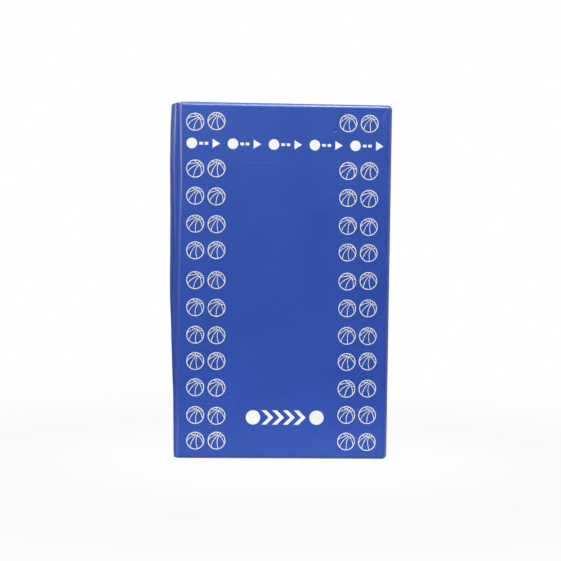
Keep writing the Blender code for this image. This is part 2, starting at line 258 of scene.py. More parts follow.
def cover_marks(x, z, side):
    """Masks of a cover's skin. The bend beside the hinge is white, part stress whitening and part painted
    highlight, less so behind. It is worn, with a painted highlight over the wear, at the lip's edge, along
    the free side and, in front, on the top slope. Painted shade lies in the fold at the top free corner and
    along the lower part of the free slope. In front, creases have a painted highlight, and dents a painted
    highlight below and painted shade above, as overhead light leaves them."""
    inward, beside = inward_of(x, z), cover_right - x
    # The white line along the bend is part stress whitening and part painted highlight.
    whitening = pale_fold_line(z, x - cover_left, bend_heights, bend_at, bend_whiteness, 0.84)
    # It is worn at the lip's edge and along the free side, with a painted highlight over both.
    wear = step_at(inward, 0.15, -0.16) + 0.5 * bell(beside, 2.0, 0.8) * (inward > -1.3)
    # Painted shade in the fold at the top free corner and in a line along the lower free slope.
    grime = 0.7 * bell(beside, 1.3, 0.9) * bell(z, cover_top - 6.0, 1.5)
    grime += 0.22 * bell(beside, 3.9, 0.5) * np.clip((310 - z) / 40, 0, 1)
    if side > 0:
        whitening *= 0.35
        return {"whitening": whitening, "wear": wear, "grime": grime}
    # In front, a painted highlight on the top slope, carried in the wear mask.
    wear += 0.80 * bell(inward, 1.5, 0.8) * np.clip((z - cover_top + 6) / 3, 0, 1)
    # Painted highlight along the front's creases.
    for middle, height, half, _ in creases:
        whitening += 0.04 * bell(z, height, 0.7) * bell(x, middle, half, 6)
    # Each dent gets a painted highlight below and painted shade above, as overhead light leaves it.
    for u, v, size, deep in dents:
        across = deep * bell(x, u, size)
        whitening += 1.2 * across * bell(z, v - 0.5 * size, 0.45 * size)
        grime += 3.0 * across * bell(z, v + 0.5 * size, 0.5 * size)
    return {"whitening": whitening, "wear": wear, "grime": grime}


def cover_skin(name, side, material):
    """One cover's skin; side is -1 for the front cover and 1 for the rear."""
    width = cover_right - cover_left
    columns = stations((0, 0), (4.0, 20), (9.0, 5), (58, 18), (65, 10), (177, 38), (185, 11),
                       (width - 20, 12), (width - 5.5, 12), (width, 24))
    rows = stations((0, 0), (5.5, 24), (12, 6), (310, 96), (317, 12), (332, 5), (338, 10), (343, 3),
                    (349, 10), (380, 11), (388, 12), (cover_top - 12, 5), (cover_top - 5.5, 6),
                    (cover_top, 24))
    x, z = cover_grid(rim_round, columns, rows)
    depth = formed_depth(x, z) + (dented(x, z) if side < 0 else 0)
    climb = np.clip((inward_of(x, z) - 0.6) / 2.3, 0, 1)
    back = skin_wall + (lip_depth + lip_wall - skin_wall) * (1 - climb) ** 1.7
    outer, inner = (np.stack((x, side * (outer_y - deep), z), axis=-1) for deep in (depth, back))
    x_rim, z_rim = (grid.reshape(-1)[rim_of(*grid.shape)] for grid in cover_grid(0.0, columns, rows))
    rings = [
        np.stack((x_rim, np.full_like(x_rim, side * (outer_y - deep)), z_rim), axis=-1)
        for deep in (lip_depth + rim_round, lip_depth + lip_wall - rim_round)
    ]
    points, faces = shell(outer, inner, rings)
    masks = cover_marks(points[:, 0], points[:, 2], side)
    if side < 0:
        points = lean(points)
    return make_piece(name, points, faces, material, side > 0, **masks)


def feed(tree, socket, value):
    """Links an output to a socket, or sets the socket to a plain value."""
    if isinstance(value, bpy.types.NodeSocket):
        tree.links.new(value, socket)
    else:
        socket.default_value = value


def node(tree, kind, settings=None, **sockets):
    """A shader node. Settings are its own values; sockets are inputs by name, each given a value or
    linked to the output that is passed."""
    made = tree.nodes.new("ShaderNode" + kind)
    for name, value in (settings or {}).items():
        setattr(made, name, value)
    for name, value in sockets.items():
        feed(tree, made.inputs[name.replace("_", " ")], value)
    return made


def math_node(operation, *values):
    """The output of a Math node on up to three values or outputs, the first output's tree holding it."""
    tree = next(value.id_data for value in values if isinstance(value, bpy.types.NodeSocket))
    made = node(tree, "Math", {"operation": operation})
    for socket, value in zip(made.inputs, values):
        feed(tree, socket, value)
    return made.outputs[0]


def noise(at, **sockets):
    """The output of a noise texture read at a place."""
    return node(at.id_data, "TexNoise", Vector=at, **sockets).outputs["Fac"]


def mapped(at, **sockets):
    """A place scaled or turned."""
    return node(at.id_data, "Mapping", Vector=at, **sockets).outputs["Vector"]


def grouped(at, group, **sockets):
    """A node group read at a place."""
    return node(at.id_data, "Group", {"node_tree": group}, Vector=at, **sockets)


def mask(at, name):
    """A value that the mesh keeps for each of its points."""
    return node(at.id_data, "Attribute", {"attribute_name": name}).outputs["Fac"]


def spread(value, low, high, to_low=0.0, to_high=1.0):
    """An output between low and high, eased to the range from to_low to to_high."""
    made = node(value.id_data, "MapRange", {"interpolation_type": "SMOOTHSTEP"}, Value=value,
                From_Min=low, From_Max=high, To_Min=to_low, To_Max=to_high)
    return made.outputs["Result"]


def blended(share, first, second):
    """The output of a colour mix by a share; a plain colour may stand for either side."""
    colours = [c if isinstance(c, bpy.types.NodeSocket) else (*c, 1.0) for c in (first, second)]
    return node(share.id_data, "MixRGB", Fac=share, Color1=colours[0], Color2=colours[1]).outputs["Color"]


def shader_group(name, inputs, outputs):
    """An empty node group with float or vector inputs, given with their defaults, and float outputs."""
    tree = bpy.data.node_groups.new(name, "ShaderNodeTree")
    for label, default in inputs.items():
        kind = "NodeSocketVector" if default is None else "NodeSocketFloat"
        socket = tree.interface.new_socket(label, in_out="INPUT", socket_type=kind)
        if default is not None:
            socket.default_value = default
    for label in outputs:
        tree.interface.new_socket(label, in_out="OUTPUT", socket_type="NodeSocketFloat")
    return tree, tree.nodes.new("NodeGroupInput"), tree.nodes.new("NodeGroupOutput")


def surface(name, **sockets):
    """A new material with one Principled shader, and the sockets that are the same all over set on
    it. Returns the material, the shader and the object coordinates."""
    material = bpy.data.materials.new(name)
    material.use_nodes = True
    shader = material.node_tree.nodes["Principled BSDF"]
    for label, value in sockets.items():
        shader.inputs[label.replace("_", " ")].default_value = value
    return material, shader, node(material.node_tree, "TexCoord").outputs["Object"]


def coat(shader, base, rough=None, height=None, strength=1.0, distance=0.0):
    """Links what changes over a surface to its shader: the colour, the roughness, and a bump whose
    distance is in metres."""
    tree = base.id_data
    tree.links.new(base, shader.inputs["Base Color"])
    if rough is not None:
        tree.links.new(rough, shader.inputs["Roughness"])
    if height is not None:
        bump = node(tree, "Bump", Strength=strength, Distance=distance, Height=height)
        tree.links.new(bump.outputs["Normal"], shader.inputs["Normal"])


# An embossed grain, pebbled at one scale and crossed by finer pores
emboss, inside, out = shader_group("emboss", {"Vector": None, "Grain Size": 0.0006}, ("Height",))
at, per_metre = inside.outputs["Vector"], math_node("DIVIDE", 1.0, inside.outputs["Grain Size"])
pebble = node(emboss, "TexVoronoi", {"feature": "SMOOTH_F1"}, Vector=at, Scale=per_metre, Smoothness=0.6)
pores = noise(at, Scale=math_node("MULTIPLY", per_metre, 2.2))
raised = math_node("SUBTRACT", 1.0, pebble.outputs["Distance"])
emboss.links.new(math_node("MULTIPLY_ADD", pores, 0.5, raised), out.inputs["Height"])

# Slow patches of tone with small pale specks of lint and dust among them
mottle, inside, out = shader_group(
    "mottle", {"Vector": None, "Patch Size": 0.05, "Speck Size": 0.002}, ("Tone", "Specks"))
at = inside.outputs["Vector"]
patches = noise(at, Detail=3.0, Roughness=0.55, Scale=math_node("DIVIDE", 1.0, inside.outputs["Patch Size"]))
mottle.links.new(patches, out.inputs["Tone"])
flecks = node(mottle, "TexVoronoi", Vector=at, Scale=math_node("DIVIDE", 0.08, inside.outputs["Speck Size"]))
chosen = node(mottle, "SeparateColor", Color=flecks.outputs["Color"])
dot = spread(flecks.outputs["Distance"], 0.012, 0.030, 1.0, 0.0)
rare = spread(chosen.outputs["Red"], 0.80, 0.82)
mottle.links.new(math_node("MULTIPLY", dot, rare), out.inputs["Specks"])


def vinyl(name, colour, grain_size, relief, roughness):
    """Satin PVC sheet: embossed, a little uneven in tone with faint level streaks, paler where the masks
    give stress whitening and painted highlight, rubbed lighter along worn edges with painted highlight
    there too, and darker with painted shade in folds."""
    material, shader, at = surface(name, Specular_IOR_Level=0.45, Specular_Tint=(0.76, 0.95, 0.82, 1.0))
    tone = grouped(at, mottle, Patch_Size=0.06, Speck_Size=0.0011)
    grain = grouped(at, emboss, Grain_Size=grain_size)
    pale = tuple(min(1.0, c * 1.045 + 0.001) for c in colour)
    deep = tuple(c * 0.965 for c in colour)
    base = blended(spread(tone.outputs["Tone"], 0.30, 0.70), deep, pale)
    level = mapped(at, Scale=(0.05, 0.05, 1.0))
    drag = spread(noise(level, Scale=700.0, Detail=2.0), 0.30, 0.75, 0.0, 0.035)
    pepper = noise(at, Scale=400.0, Detail=4.0, Roughness=0.75)
    worn = math_node("ADD", drag, spread(pepper, 0.30, 0.72, 0.0, 0.085))
    base = blended(worn, base, (0.13, 0.19, 0.60))
    broken = spread(noise(at, Scale=900.0, Detail=3.0), 0.25, 0.75, 0.70, 1.0)
    # Paler where the mask gives stress whitening and painted highlight.
    whitened_and_lit = math_node("MULTIPLY", mask(at, "whitening"), broken)
    base = blended(whitened_and_lit, base, (0.48, 0.44, 0.65))
    # Rubbed lighter where the mask gives wear, with painted highlight on the lip, the free side and the top
    # slope.
    rubbed_and_lit = mask(at, "wear")
    patchy = spread(noise(at, Scale=140.0, Detail=5.0, Roughness=0.65), 0.50, 0.72)
    scuffed_and_lit = math_node("MULTIPLY", rubbed_and_lit, patchy)
    haze = math_node("MULTIPLY_ADD", scuffed_and_lit, 0.10, math_node("MULTIPLY", rubbed_and_lit, 0.17))
    base = blended(haze, base, (0.50, 0.50, 0.62))
    # Painted shade: darker where the mask lays shade in folds, creases and above dents.
    base = blended(mask(at, "grime"), base, (0.006, 0.012, 0.070))
    base = blended(math_node("MULTIPLY", tone.outputs["Specks"], 0.30), base, (0.40, 0.46, 0.72))
    matt = spread(tone.outputs["Tone"], 0.3, 0.7, roughness - 0.03, roughness + 0.03)
    coat(shader, base, math_node("MULTIPLY_ADD", scuffed_and_lit, -0.10, matt),
         grain.outputs["Height"], 1.0, relief)
    return material


blue_vinyl = vinyl("blue_vinyl", (0.0205, 0.0670, 0.392), 0.00055, 0.000012, 0.31)
for name, side, body in (("rear_cover_skin", 1, "rear_cover"), ("front_cover_skin", -1, "front_cover")):
    skin = cover_skin(name + "_formed", side, blue_vinyl)
    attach(skin, body)
    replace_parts(skin, name)


# Spine
# A strip of the same vinyl with a liner welded inside it, bent round the back of the folder. It is
# open at the top and foot, bows out round the marker, and is creased where it has been flattened.
spine_x = 1000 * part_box("spine_skin")[1][0]
spine_half = 1000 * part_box("spine_skin")[1][1]
spine_skin_wall, spine_wall = 0.88, 1.4
edge_foot, edge_top, middle_foot, middle_top = 0.9, 1.1, 2.5, 2.7
mouth_turn, mouth_height, ripple_high, fold_deep, gather_deep = 1.3, 3.2, 0.10, 0.85, 0.16
swell_heights = (0, 70, 125, 163, 195, 240, 290, 345, 390, 415)
swell_sizes = (1.3, 2.6, 5.0, 6.55, 7.95, 8.3, 8.5, 9.7, 9.3, 8.4)
pressed_heights = (0, 242, 265, 289, 312, 335, 350, 370, 390, 405)
pressed_at = (8, 9, 15, 20, 23, 28, 31.5, 29, 25.5, 23)
pressed_whiteness = (0.0, 0.0, 0.08, 0.12, 0.18, 0.24, 0.34, 0.50, 0.78, 0.85)
# Heights and strengths of a painted highlight over the spine's middle near the top.
highlight_heights, highlight_whiteness = (308, 326, 350, 372, 412), (0.0, 0.03, 0.08, 0.10, 0.14)
fold_heights, fold_at = (173, 242, 289, 312), (32, 32, 35.5, 43)


def spine_swell(z):
    """How far the spine bows out at a height: between its stations, evened out over 30 millimetres."""
    fine = np.arange(-60.0, cover_top + 61.0)
    window = np.hanning(31)
    even = np.convolve(np.interp(fine, swell_heights, swell_sizes), window / window.sum(), "same")
    return np.interp(z, fine, even)


def long_fold(from_edge, z, width):
    """Share of the long crease's depth at an angle in degrees from the front edge: a bell curve that
    wanders with height and fades out at both ends."""
    across = bell(from_edge, np.interp(z, fold_heights, fold_at), width)
    return across * step_at(z, 186, 8) * step_at(z, 322, -6)


def spine_grid(inset, rows, turns):
    """A half oval between the hinges, as a grid of points inset from the spine's outer surface. Its
    ends are cut back most at the middle of the curve, and it turns in a little at the foot. It has
    soft ripples, a pressed edge beside the front hinge with gathers at its top, and a long crease."""
    share, angle = np.meshgrid(rows, turns, indexing="ij")
    bow = np.cos(angle)
    low = edge_foot + middle_foot * np.sqrt(bow)
    high = cover_top - edge_top - middle_top * bow**2
    z = low + (high - low) * share
    from_edge = np.degrees(angle) + 90
    crest = from_edge - np.interp(z, pressed_heights, pressed_at)
    ripple = ripple_high * np.sin(z / 9.0 + 2 * angle) * np.sin(z / 23.0 + 1.0) * bow
    pressed = step_at(z, 275, 12) * (0.40 * bell(crest, -11, 6.0) - 0.20 * bell(crest, 0, 3.6))
    gather = gather_deep * bell(z, 407, 5) * bell(from_edge, 9, 8) * np.sin(from_edge * 0.9 + z)
    sunk = fold_deep * long_fold(from_edge, z, 5.5) + pressed + gather
    near_foot = np.clip((low + mouth_height - z) / mouth_height, 0, 1)
    swell = spine_swell(z) - inset - mouth_turn * (1 - np.sqrt(1 - near_foot**2)) + ripple - sunk
    out = spine_half - inset - sunk * (1 - bow)
    return np.stack((spine_x - swell * bow, out * np.sin(angle), z), axis=-1)


def spine_sheet(name, near, far, material):
    """The part of the spine's wall between two depths below its outer surface, with a rounded rim. It is
    white along the pressed edge, part stress whitening and part painted highlight, and has a painted
    highlight near the top over its middle. It is worn at both mouths, and painted shade lies in the long
    crease and in the gathers."""
    rows = stations((0, 0), (0.012, 9), (0.95, 190), (1.0, 20))
    turns = np.radians(stations((-90, 0), (-60, 26), (60, 44), (90, 20)))
    soft = min(0.2, (far - near) / 3)
    outer, inner = (spine_grid(inset, 0.0005 + rows * 0.999, turns) for inset in (near, far))
    rings = [
        spine_grid(inset, rows, turns).reshape(-1, 3)[rim_of(len(rows), len(turns))]
        for inset in (near + soft, far - soft)
    ]
    points, faces = shell(outer, inner, rings)
    x, y, z = points.T
    from_edge = np.degrees(np.arctan2(spine_x - x, -y))
    # White along the pressed edge: part stress whitening and part painted highlight on its crest.
    whitening = pale_fold_line(z, from_edge, pressed_heights, pressed_at, pressed_whiteness, 4.4)
    # Painted highlight over the middle near the top.
    whitening += np.interp(z, highlight_heights, highlight_whiteness) * bell(from_edge, 62, 26)
    wear = np.exp(-np.minimum(z, cover_top - z) / 1.2)
    # Painted shade in the long crease and between the gathers at the top.
    gathers = bell(from_edge, 12, 5) * np.clip((z - 397) / 4, 0, 1) * np.clip(np.sin(1.25 * z + 0.4), 0, 1)
    grime = 0.80 * long_fold(from_edge, z, 4.5) + 0.6 * gathers
    return make_piece(name, points, faces, material, True, whitening=whitening, wear=wear, grime=grime)


blue_liner = vinyl("blue_liner", (0.017, 0.052, 0.330), 0.0009, 0.000010, 0.48)
for name, near, far, material, slot in (
    ("spine_skin", 0.0, spine_skin_wall, blue_vinyl, "blue_vinyl"),
    ("spine_liner", spine_skin_wall + 0.02, spine_wall, blue_liner, "blue_liner"),
):
    bent = spine_sheet(name + "_bent", near, far, material)
    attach(bent, "spine")
    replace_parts(bent, name)


# Hinge webs
# Skin and liner pressed into one thin strip between a cover's lip and the spine's edge. Each is a living
# hinge, built here as one straight strip that does not bend, and its ends run on inside the lip and inside
# the spine's wall.
web_section = (
    (-1.70, 0.48), (-1.45, 0.60), (-1.0, 0.60), (-0.72, 0.55), (-0.45, 0.42), (-0.2, 0.34),
    (0.0, 0.32), (0.2, 0.34), (0.45, 0.42), (0.72, 0.56), (1.0, 0.68), (1.45, 0.70), (1.70, 0.55),
)
web_end, slant_reach, foot_slant, top_slant = 0.6, 12, 0.9, 1.0


def hinge_web(name, side, material):
    """The strip beside one cover: a flat section with a pressed waist, carried up the hinge axis. Its
    ends are thinned, and cut back slantwise towards the spine."""
    upper = np.array(web_section)
    section = np.concatenate((upper, upper[::-1] * (1, -1)))
    z = stations((web_end, 0), (4.0, 6), (cover_top - 4.0, 150), (cover_top - web_end, 6))
    rows, columns = len(z), len(section)
    near_end = np.clip(1 - np.minimum(z - web_end, cover_top - web_end - z) / 0.8, 0, 1)
    taper = 1 - 0.5 * near_end**2
    slant = foot_slant * np.clip(1 - z / slant_reach, 0, 1)
    slant -= top_slant * np.clip(1 - (cover_top - z) / slant_reach, 0, 1)
    along = z[:, None] + slant[:, None] * np.clip((0.8 - section[:, 0]) / 2.0, 0, 1)
    pucker = 0.05 * np.sin(along * 2.1 + 3 * section[:, 0]) * np.clip((along - 396) / 10, 0, 1)
    out = section[:, 1] * taper[:, None] + pucker * np.sign(section[:, 1])
    x = hinge_x + np.repeat(section[None, :, 0], rows, axis=0)
    points = np.stack((x, side * (hinge_y + out), along), axis=-1).reshape(-1, 3)
    faces = [quads(rows, columns, wrap_columns=True)]
    faces.append(np.arange(columns)[None, ::-1])
    faces.append((rows - 1) * columns + np.arange(columns)[None, :])
    whitening = pale_fold_line(points[:, 2], points[:, 0] - hinge_x, (0, 390, 411, 414), (0.4, 0.4, 0.4, 0.4),
                            (0.05, 0.05, 0.35, 0.60), 0.8)
    made = make_piece(name, points, faces, material, side > 0, whitening=whitening)
    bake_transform(made)
    return made


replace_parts(hinge_web("front_hinge_web_pressed", -1, blue_vinyl), "front_hinge_web")
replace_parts(hinge_web("rear_hinge_web_pressed", 1, blue_vinyl), "rear_hinge_web")


# Print on the front cover
# Screen-printed ink: two columns of line-drawn balls down each side, and rows of plain solid marks
# where a title and a word would stand. The ink lies on the face and follows its dents.
ink_lift, ink_root = 0.045, 0.06
ball_radius, rim_line, seam_line = 9.9, 0.92, 0.70
ball_columns = ((195.2, 0.0), (216.5, 0.0), (348.5, -2.5), (369.7, -2.9))
ball_rows = (
    (121.7, 168.5, 195.6, 223.6, 250.3, 280.1, 307.2, 334.7, 361.0, 387.3, 415.0, 440.6),
    (121.1, 168.3, 196.4, 224.2, 250.1, 280.1, 307.8, 335.3, 361.0, 387.7, 415.8, 440.6),
    (123.3, 171.0, 198.0, 225.8, 252.5, 281.6, 308.4, 335.8, 362.0, 388.8, 415.0, 441.5),
    (123.7, 171.2, 198.8, 227.0, 253.1, 281.0, 308.4, 336.2, 361.4, 388.6, 415.2, 442.1),
)
ball_turns = (
    (40, 42, 29, 26, 16, 42, 30, 26, 14, 29, 24, 14), (13, 15, 33, 16, 19, 12, 32, 15, 20, 31, 16, 18),
    (16, 43, 29, 26, 17, 42, 27, 22, 14, 42, 29, 27), (21, 15, 33, 16, 22, 14, 32, 15, 18, 16, 31, 13),
)
ball_seams = (
    ((-0.78, 0.60), (0.02, 0.75), (0.47, 0.67), (0.97, -0.03)),
    ((-0.93, -0.30), (-0.86, 0.29), (-0.08, 0.59), (-0.18, 0.98)),
    ((-0.37, -0.93), (-0.50, -0.39), (-0.31, 0.18), (-0.04, 0.66)),
    ((0.49, -0.87), (0.02, -0.06), (-0.02, 0.09), (0.14, 0.99)),
    ((0.20, 0.61), (0.31, 0.69), (0.42, 0.76), (0.55, 0.83)),
)


def on_cover(u, v):
    """The x and z on the front cover, not yet leaned in, that a pixel of the photograph shows: the
    camera's ray through the pixel, turned back with the cover, meets its upright outer face."""
    pixels_per_unit = picture_size * camera.data.lens / camera.data.sensor_width
    ray = forward + ((u - picture_size / 2) * right - (v - picture_size / 2) * up) / pixels_per_unit
    sin, cos = math.sin(-closing_tilt), math.cos(-closing_tilt)
    start = aim - forward * aim_distance - (hinge_x, -hinge_y, 0)
    (ray_x, ray_y), (start_x, start_y) = (
        (cos * vector[0] - sin * vector[1], sin * vector[0] + cos * vector[1]) for vector in (ray, start)
    )
    travel = (hinge_y - outer_y - start_y) / ray_y
    return np.array((hinge_x + start_x + travel * ray_x, start[2] + travel * ray[2]))


def stroke(path, width, closed=False):
    """A line along a path of (x, z), mitred at its corners: rows of the four corners of its section,
    with the ends closed unless the path joins itself. Its width is one number, or one a point."""
    step = np.diff(np.concatenate((path, path[:1])) if closed else path, axis=0)
    step /= np.linalg.norm(step, axis=1, keepdims=True)
    aside = np.stack((-step[:, 1], step[:, 0]), axis=1)
    before = np.roll(aside, 1, axis=0) if closed else np.concatenate((aside[:1], aside))
    after = aside if closed else np.concatenate((aside, aside[-1:]))
    mitre = (before + after) / (1 + np.sum(before * after, axis=1, keepdims=True)) * width / 2
    edges = np.stack((path - mitre, path + mitre, path + mitre, path - mitre), axis=1)
    raised = np.broadcast_to(np.array((1.0, 1.0, 0.0, 0.0)), edges.shape[:2])
    points = np.concatenate((edges, raised[..., None]), axis=2).reshape(-1, 3)
    faces = [quads(len(path), 4, wrap_rows=closed, wrap_columns=True)[:, ::-1]]
    if not closed:
        faces.append(np.array([[0, 1, 2, 3], [-1, -2, -3, -4]]) % len(points))
    return points, faces


def patch(outline):
    """A filled shape from its outline of (x, z), which runs the way that a clock's hands don't."""
    count = len(outline)
    raised = np.repeat((1.0, 0.0), count)
    points = np.column_stack((np.tile(outline, (2, 1)), raised))
    ring = np.arange(count)
    after = np.roll(ring, -1)
    sides = np.stack((after, ring, ring + count, after + count), axis=1)
    return points, [ring[None, :], ring[None, ::-1] + count, sides]


def circle(centre, radius, steps):
    """Points round a circle, against the clock."""
    angle = np.arange(steps) * math.tau / steps
    return np.column_stack((centre[0] + radius * np.cos(angle), centre[1] + radius * np.sin(angle)))


def ball_figure(centre, radius, turned, rim_width, seam_width):
    """A line-drawn ball: its rim, and seams that cross near a pole above its middle. Each seam is a
    cubic Bezier curve through four points of a ball of radius 1, whose pole is up; the figure is
    then turned clockwise by some degrees."""
    parts = [stroke(circle(centre, radius, 44), rim_width, closed=True)]
    sin, cos = math.sin(math.radians(turned)), math.cos(math.radians(turned))
    share = np.linspace(0.0, 1.0, 13)[:, None]
    weights = np.hstack((
        (1 - share) ** 3, 3 * share * (1 - share) ** 2, 3 * share**2 * (1 - share), share**3,
    ))
    for seam in ball_seams:
        drawn = radius * weights @ np.array(seam) @ np.array(((cos, -sin), (sin, cos)))
        parts.append(stroke(centre + drawn, seam_width))
    return gathered(parts)


def printed(name, parts, material, place, mirrored=False):
    """Puts strokes and patches on a surface. place turns x, z and the share raised into points."""
    points, faces = gathered(parts)
    made = make_piece(name, place(*points.T), faces, material, mirrored)
    made.data.polygons.foreach_set("use_smooth", np.zeros(len(made.data.polygons), bool))
    return made


def front_place(x, z, raised):
    """Points of ink on the front cover: its foot lies under the face and its top stands proud."""
    depth = formed_depth(x, z) + dented(x, z) + ink_root - raised * (ink_root + ink_lift)
    return lean(np.stack((x, depth - outer_y, z), axis=-1))


def ink(name, colour, roughness, worn_to):
    """Matt screen ink, a little uneven in thickness, with pinholes where the sheet shows through."""
    material, shader, at = surface(name, Specular_IOR_Level=0.35)
    cover = noise(at, Scale=260.0, Detail=6.0, Roughness=0.7)
    patches = spread(noise(at, Scale=30.0), 0.3, 0.7)
    tint = blended(patches, tuple(c * 0.95 for c in colour), colour)
    thin = math_node("MULTIPLY", spread(cover, 0.62, 0.80), 0.55)
    coat(shader, blended(thin, tint, worn_to),
         spread(cover, 0.3, 0.8, roughness - 0.06, roughness + 0.10), cover, 0.6, 0.00001)
    return material


balls = []
for (u, drift), rows, turns in zip(ball_columns, ball_rows, ball_turns):
    for row, (v, turned_by) in enumerate(zip(rows, turns)):
        centre = on_cover(u + drift * row / (len(rows) - 1), v)
        balls.append(ball_figure(centre, ball_radius, turned_by, rim_line, seam_line))
ball_ink = ink("ball_ink", (0.88, 0.88, 0.75), 0.50, (0.10, 0.15, 0.50))
ball_print = printed("ball_print", balls, ball_ink, front_place)
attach(ball_print, "front_cover")


def arrow_head(tip, length, half):
    """A filled triangle that points along +X, drawn as a tapering stroke so that it follows dents."""
    share = np.linspace(0.0, 1.0, 13)
    path = np.column_stack((tip[0] - length * (1 - share), np.full(13, tip[1])))
    return stroke(path, 2 * half * (1 - 0.97 * share)[:, None])


def chevron(tip, length, half, thick):
    """A bold arrow head without its back, pointing along +X."""
    x, z = tip
    outline = ((x, z), (x - length, z + half), (x - length - thick, z + half), (x - thick, z),
               (x - length - thick, z - half), (x - length, z - half))
    return patch(np.array(outline))


(title_left, title_z), (title_right, _) = on_cover(186.5, 142.9), on_cover(383.3, 143.3)
title_half, groups, group_gap, head_long = 6.15, 5, 9, 8.5
dash_from, dash_pitch, dash_long, dash_high = 2.5, 6.2, 4.2, 3.2
marks = []
group_pitch = (title_right - title_left + group_gap) / groups
for group in range(groups):
    x = title_left + group * group_pitch
    marks.append(patch(circle((x + title_half, title_z), title_half, 40)))
    for dash in range(2):
        start = x + 2 * title_half + dash_from + dash * dash_pitch
        marks.append(stroke(np.array(((start, title_z), (start + dash_long, title_z))), dash_high))
    marks.append(arrow_head((x + group_pitch - group_gap, title_z), head_long, title_half * 0.86))
(word_left, word_z), (word_right, _) = on_cover(245.8, 417.3), on_cover(323.6, 417.3)
word_half, chevron_from, chevron_pitch, chevron_thick = 8.4, 15.5, 12.6, 5.6
for x in (word_left + word_half, word_right - word_half):
    marks.append(patch(circle((x, word_z), word_half, 48)))
for step in range(4):
    tip = word_left + 2 * word_half + chevron_from + step * chevron_pitch
    marks.append(chevron((tip, word_z), word_half, word_half, chevron_thick))
title_ink = ink("title_ink", (0.90, 0.90, 0.89), 0.46, (0.25, 0.32, 0.62))
title_print = printed("title_print", marks, title_ink, front_place)
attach(title_print, "front_cover")


# Boards and steel sheets
# Each cover is stiffened by a greyboard panel, with a thin zinc-coated steel sheet over it that
# magnets hold to. Both are cut plain and lie loose under the vinyl.
greyboard, shader, at = surface("greyboard", Specular_IOR_Level=0.20, Roughness=0.92)
pulp = noise(at, Scale=420.0, Detail=6.0, Roughness=0.7)
fibres = noise(at, Scale=1600.0, Detail=3.0, Distortion=1.2)
grey = blended(spread(pulp, 0.35, 0.65), (0.235, 0.220, 0.195), (0.36, 0.34, 0.305))
grey = blended(spread(fibres, 0.62, 0.70), grey, (0.12, 0.11, 0.10))
coat(shader, grey, None, pulp, 0.7, 0.00008)

zinc_steel, shader, at = surface("zinc_steel", Metallic=1.0)
rolled = noise(mapped(at, Scale=(1.0, 1.0, 0.03)), Scale=900.0, Detail=4.0)
spangle = node(at.id_data, "TexVoronoi", Scale=160.0, Vector=at).outputs["Distance"]
zinc = blended(spread(rolled, 0.3, 0.7), (0.46, 0.47, 0.48), (0.62, 0.63, 0.64))
zinc = blended(spread(spangle, 0.1, 0.6, 0.0, 0.25), zinc, (0.40, 0.41, 0.43))
coat(shader, zinc, spread(rolled, 0.3, 0.7, 0.42, 0.30))
for name in ("rear_cover_board", "front_cover_board"):
    frame["nodes"][name].material_slots[0].material = greyboard
for name in ("rear_steel_sheet", "front_steel_sheet"):
    frame["nodes"][name].material_slots[0].material = zinc_steel


# Court sheets
# Stiff white laminate with a hard gloss face that wipes clean. It lies over the steel and its edges
# are held by the liner frames. Old marker has left faint grey smears in it.
laminate, shader, at = surface("laminate", Specular_IOR_Level=0.50)
wiped = mapped(at, Scale=(1.0, 1.0, 0.35), Rotation=(0.0, 0.6, 0.0))
smears = noise(wiped, Scale=16.0, Detail=5.0, Roughness=0.6, Distortion=0.8)
haze = spread(smears, 0.52, 0.78, 0.0, 0.20)
coat(shader, blended(haze, (0.835, 0.845, 0.845), (0.60, 0.63, 0.68)),
     spread(smears, 0.45, 0.75, 0.16, 0.30), noise(at, Scale=60.0), 0.25, 0.00006)
for name in ("rear_court_sheet", "front_court_sheet"):
    frame["nodes"][name].material_slots[0].material = laminate


# Court print
# Line marks in dark blue ink over pale tinted areas: a whole court on the rear board, and half a
# court under a ruled space for notes on the front one. One metre of court is 13.2 mm.
court_scale, court_line, note_line = 13.2, 1.0, 0.35
court_lift, court_root = 0.030, 0.05
sheet_low, sheet_high = (1000 * np.array(corner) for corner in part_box("rear_court_sheet"))
court_face = sheet_low[1]
court_x, court_z = (sheet_low[0] + sheet_high[0]) / 2, (sheet_low[2] + sheet_high[2]) / 2
half_wide, half_long, circle_round, lane_half, lane_long = 7.5, 14.0, 1.8, 2.45, 5.8
board_out, board_half, ring_out, ring_round = 1.2, 0.9, 1.575, 0.225
near_round, far_round, far_straight = 1.25, 6.75, 6.6


def arc(centre, radius, start, end, steps):
    """Points along a circle's arc, between two angles in degrees against the clock."""
    angle = np.radians(np.linspace(start, end, steps))
    return np.column_stack((centre[0] + radius * np.cos(angle), centre[1] + radius * np.sin(angle)))


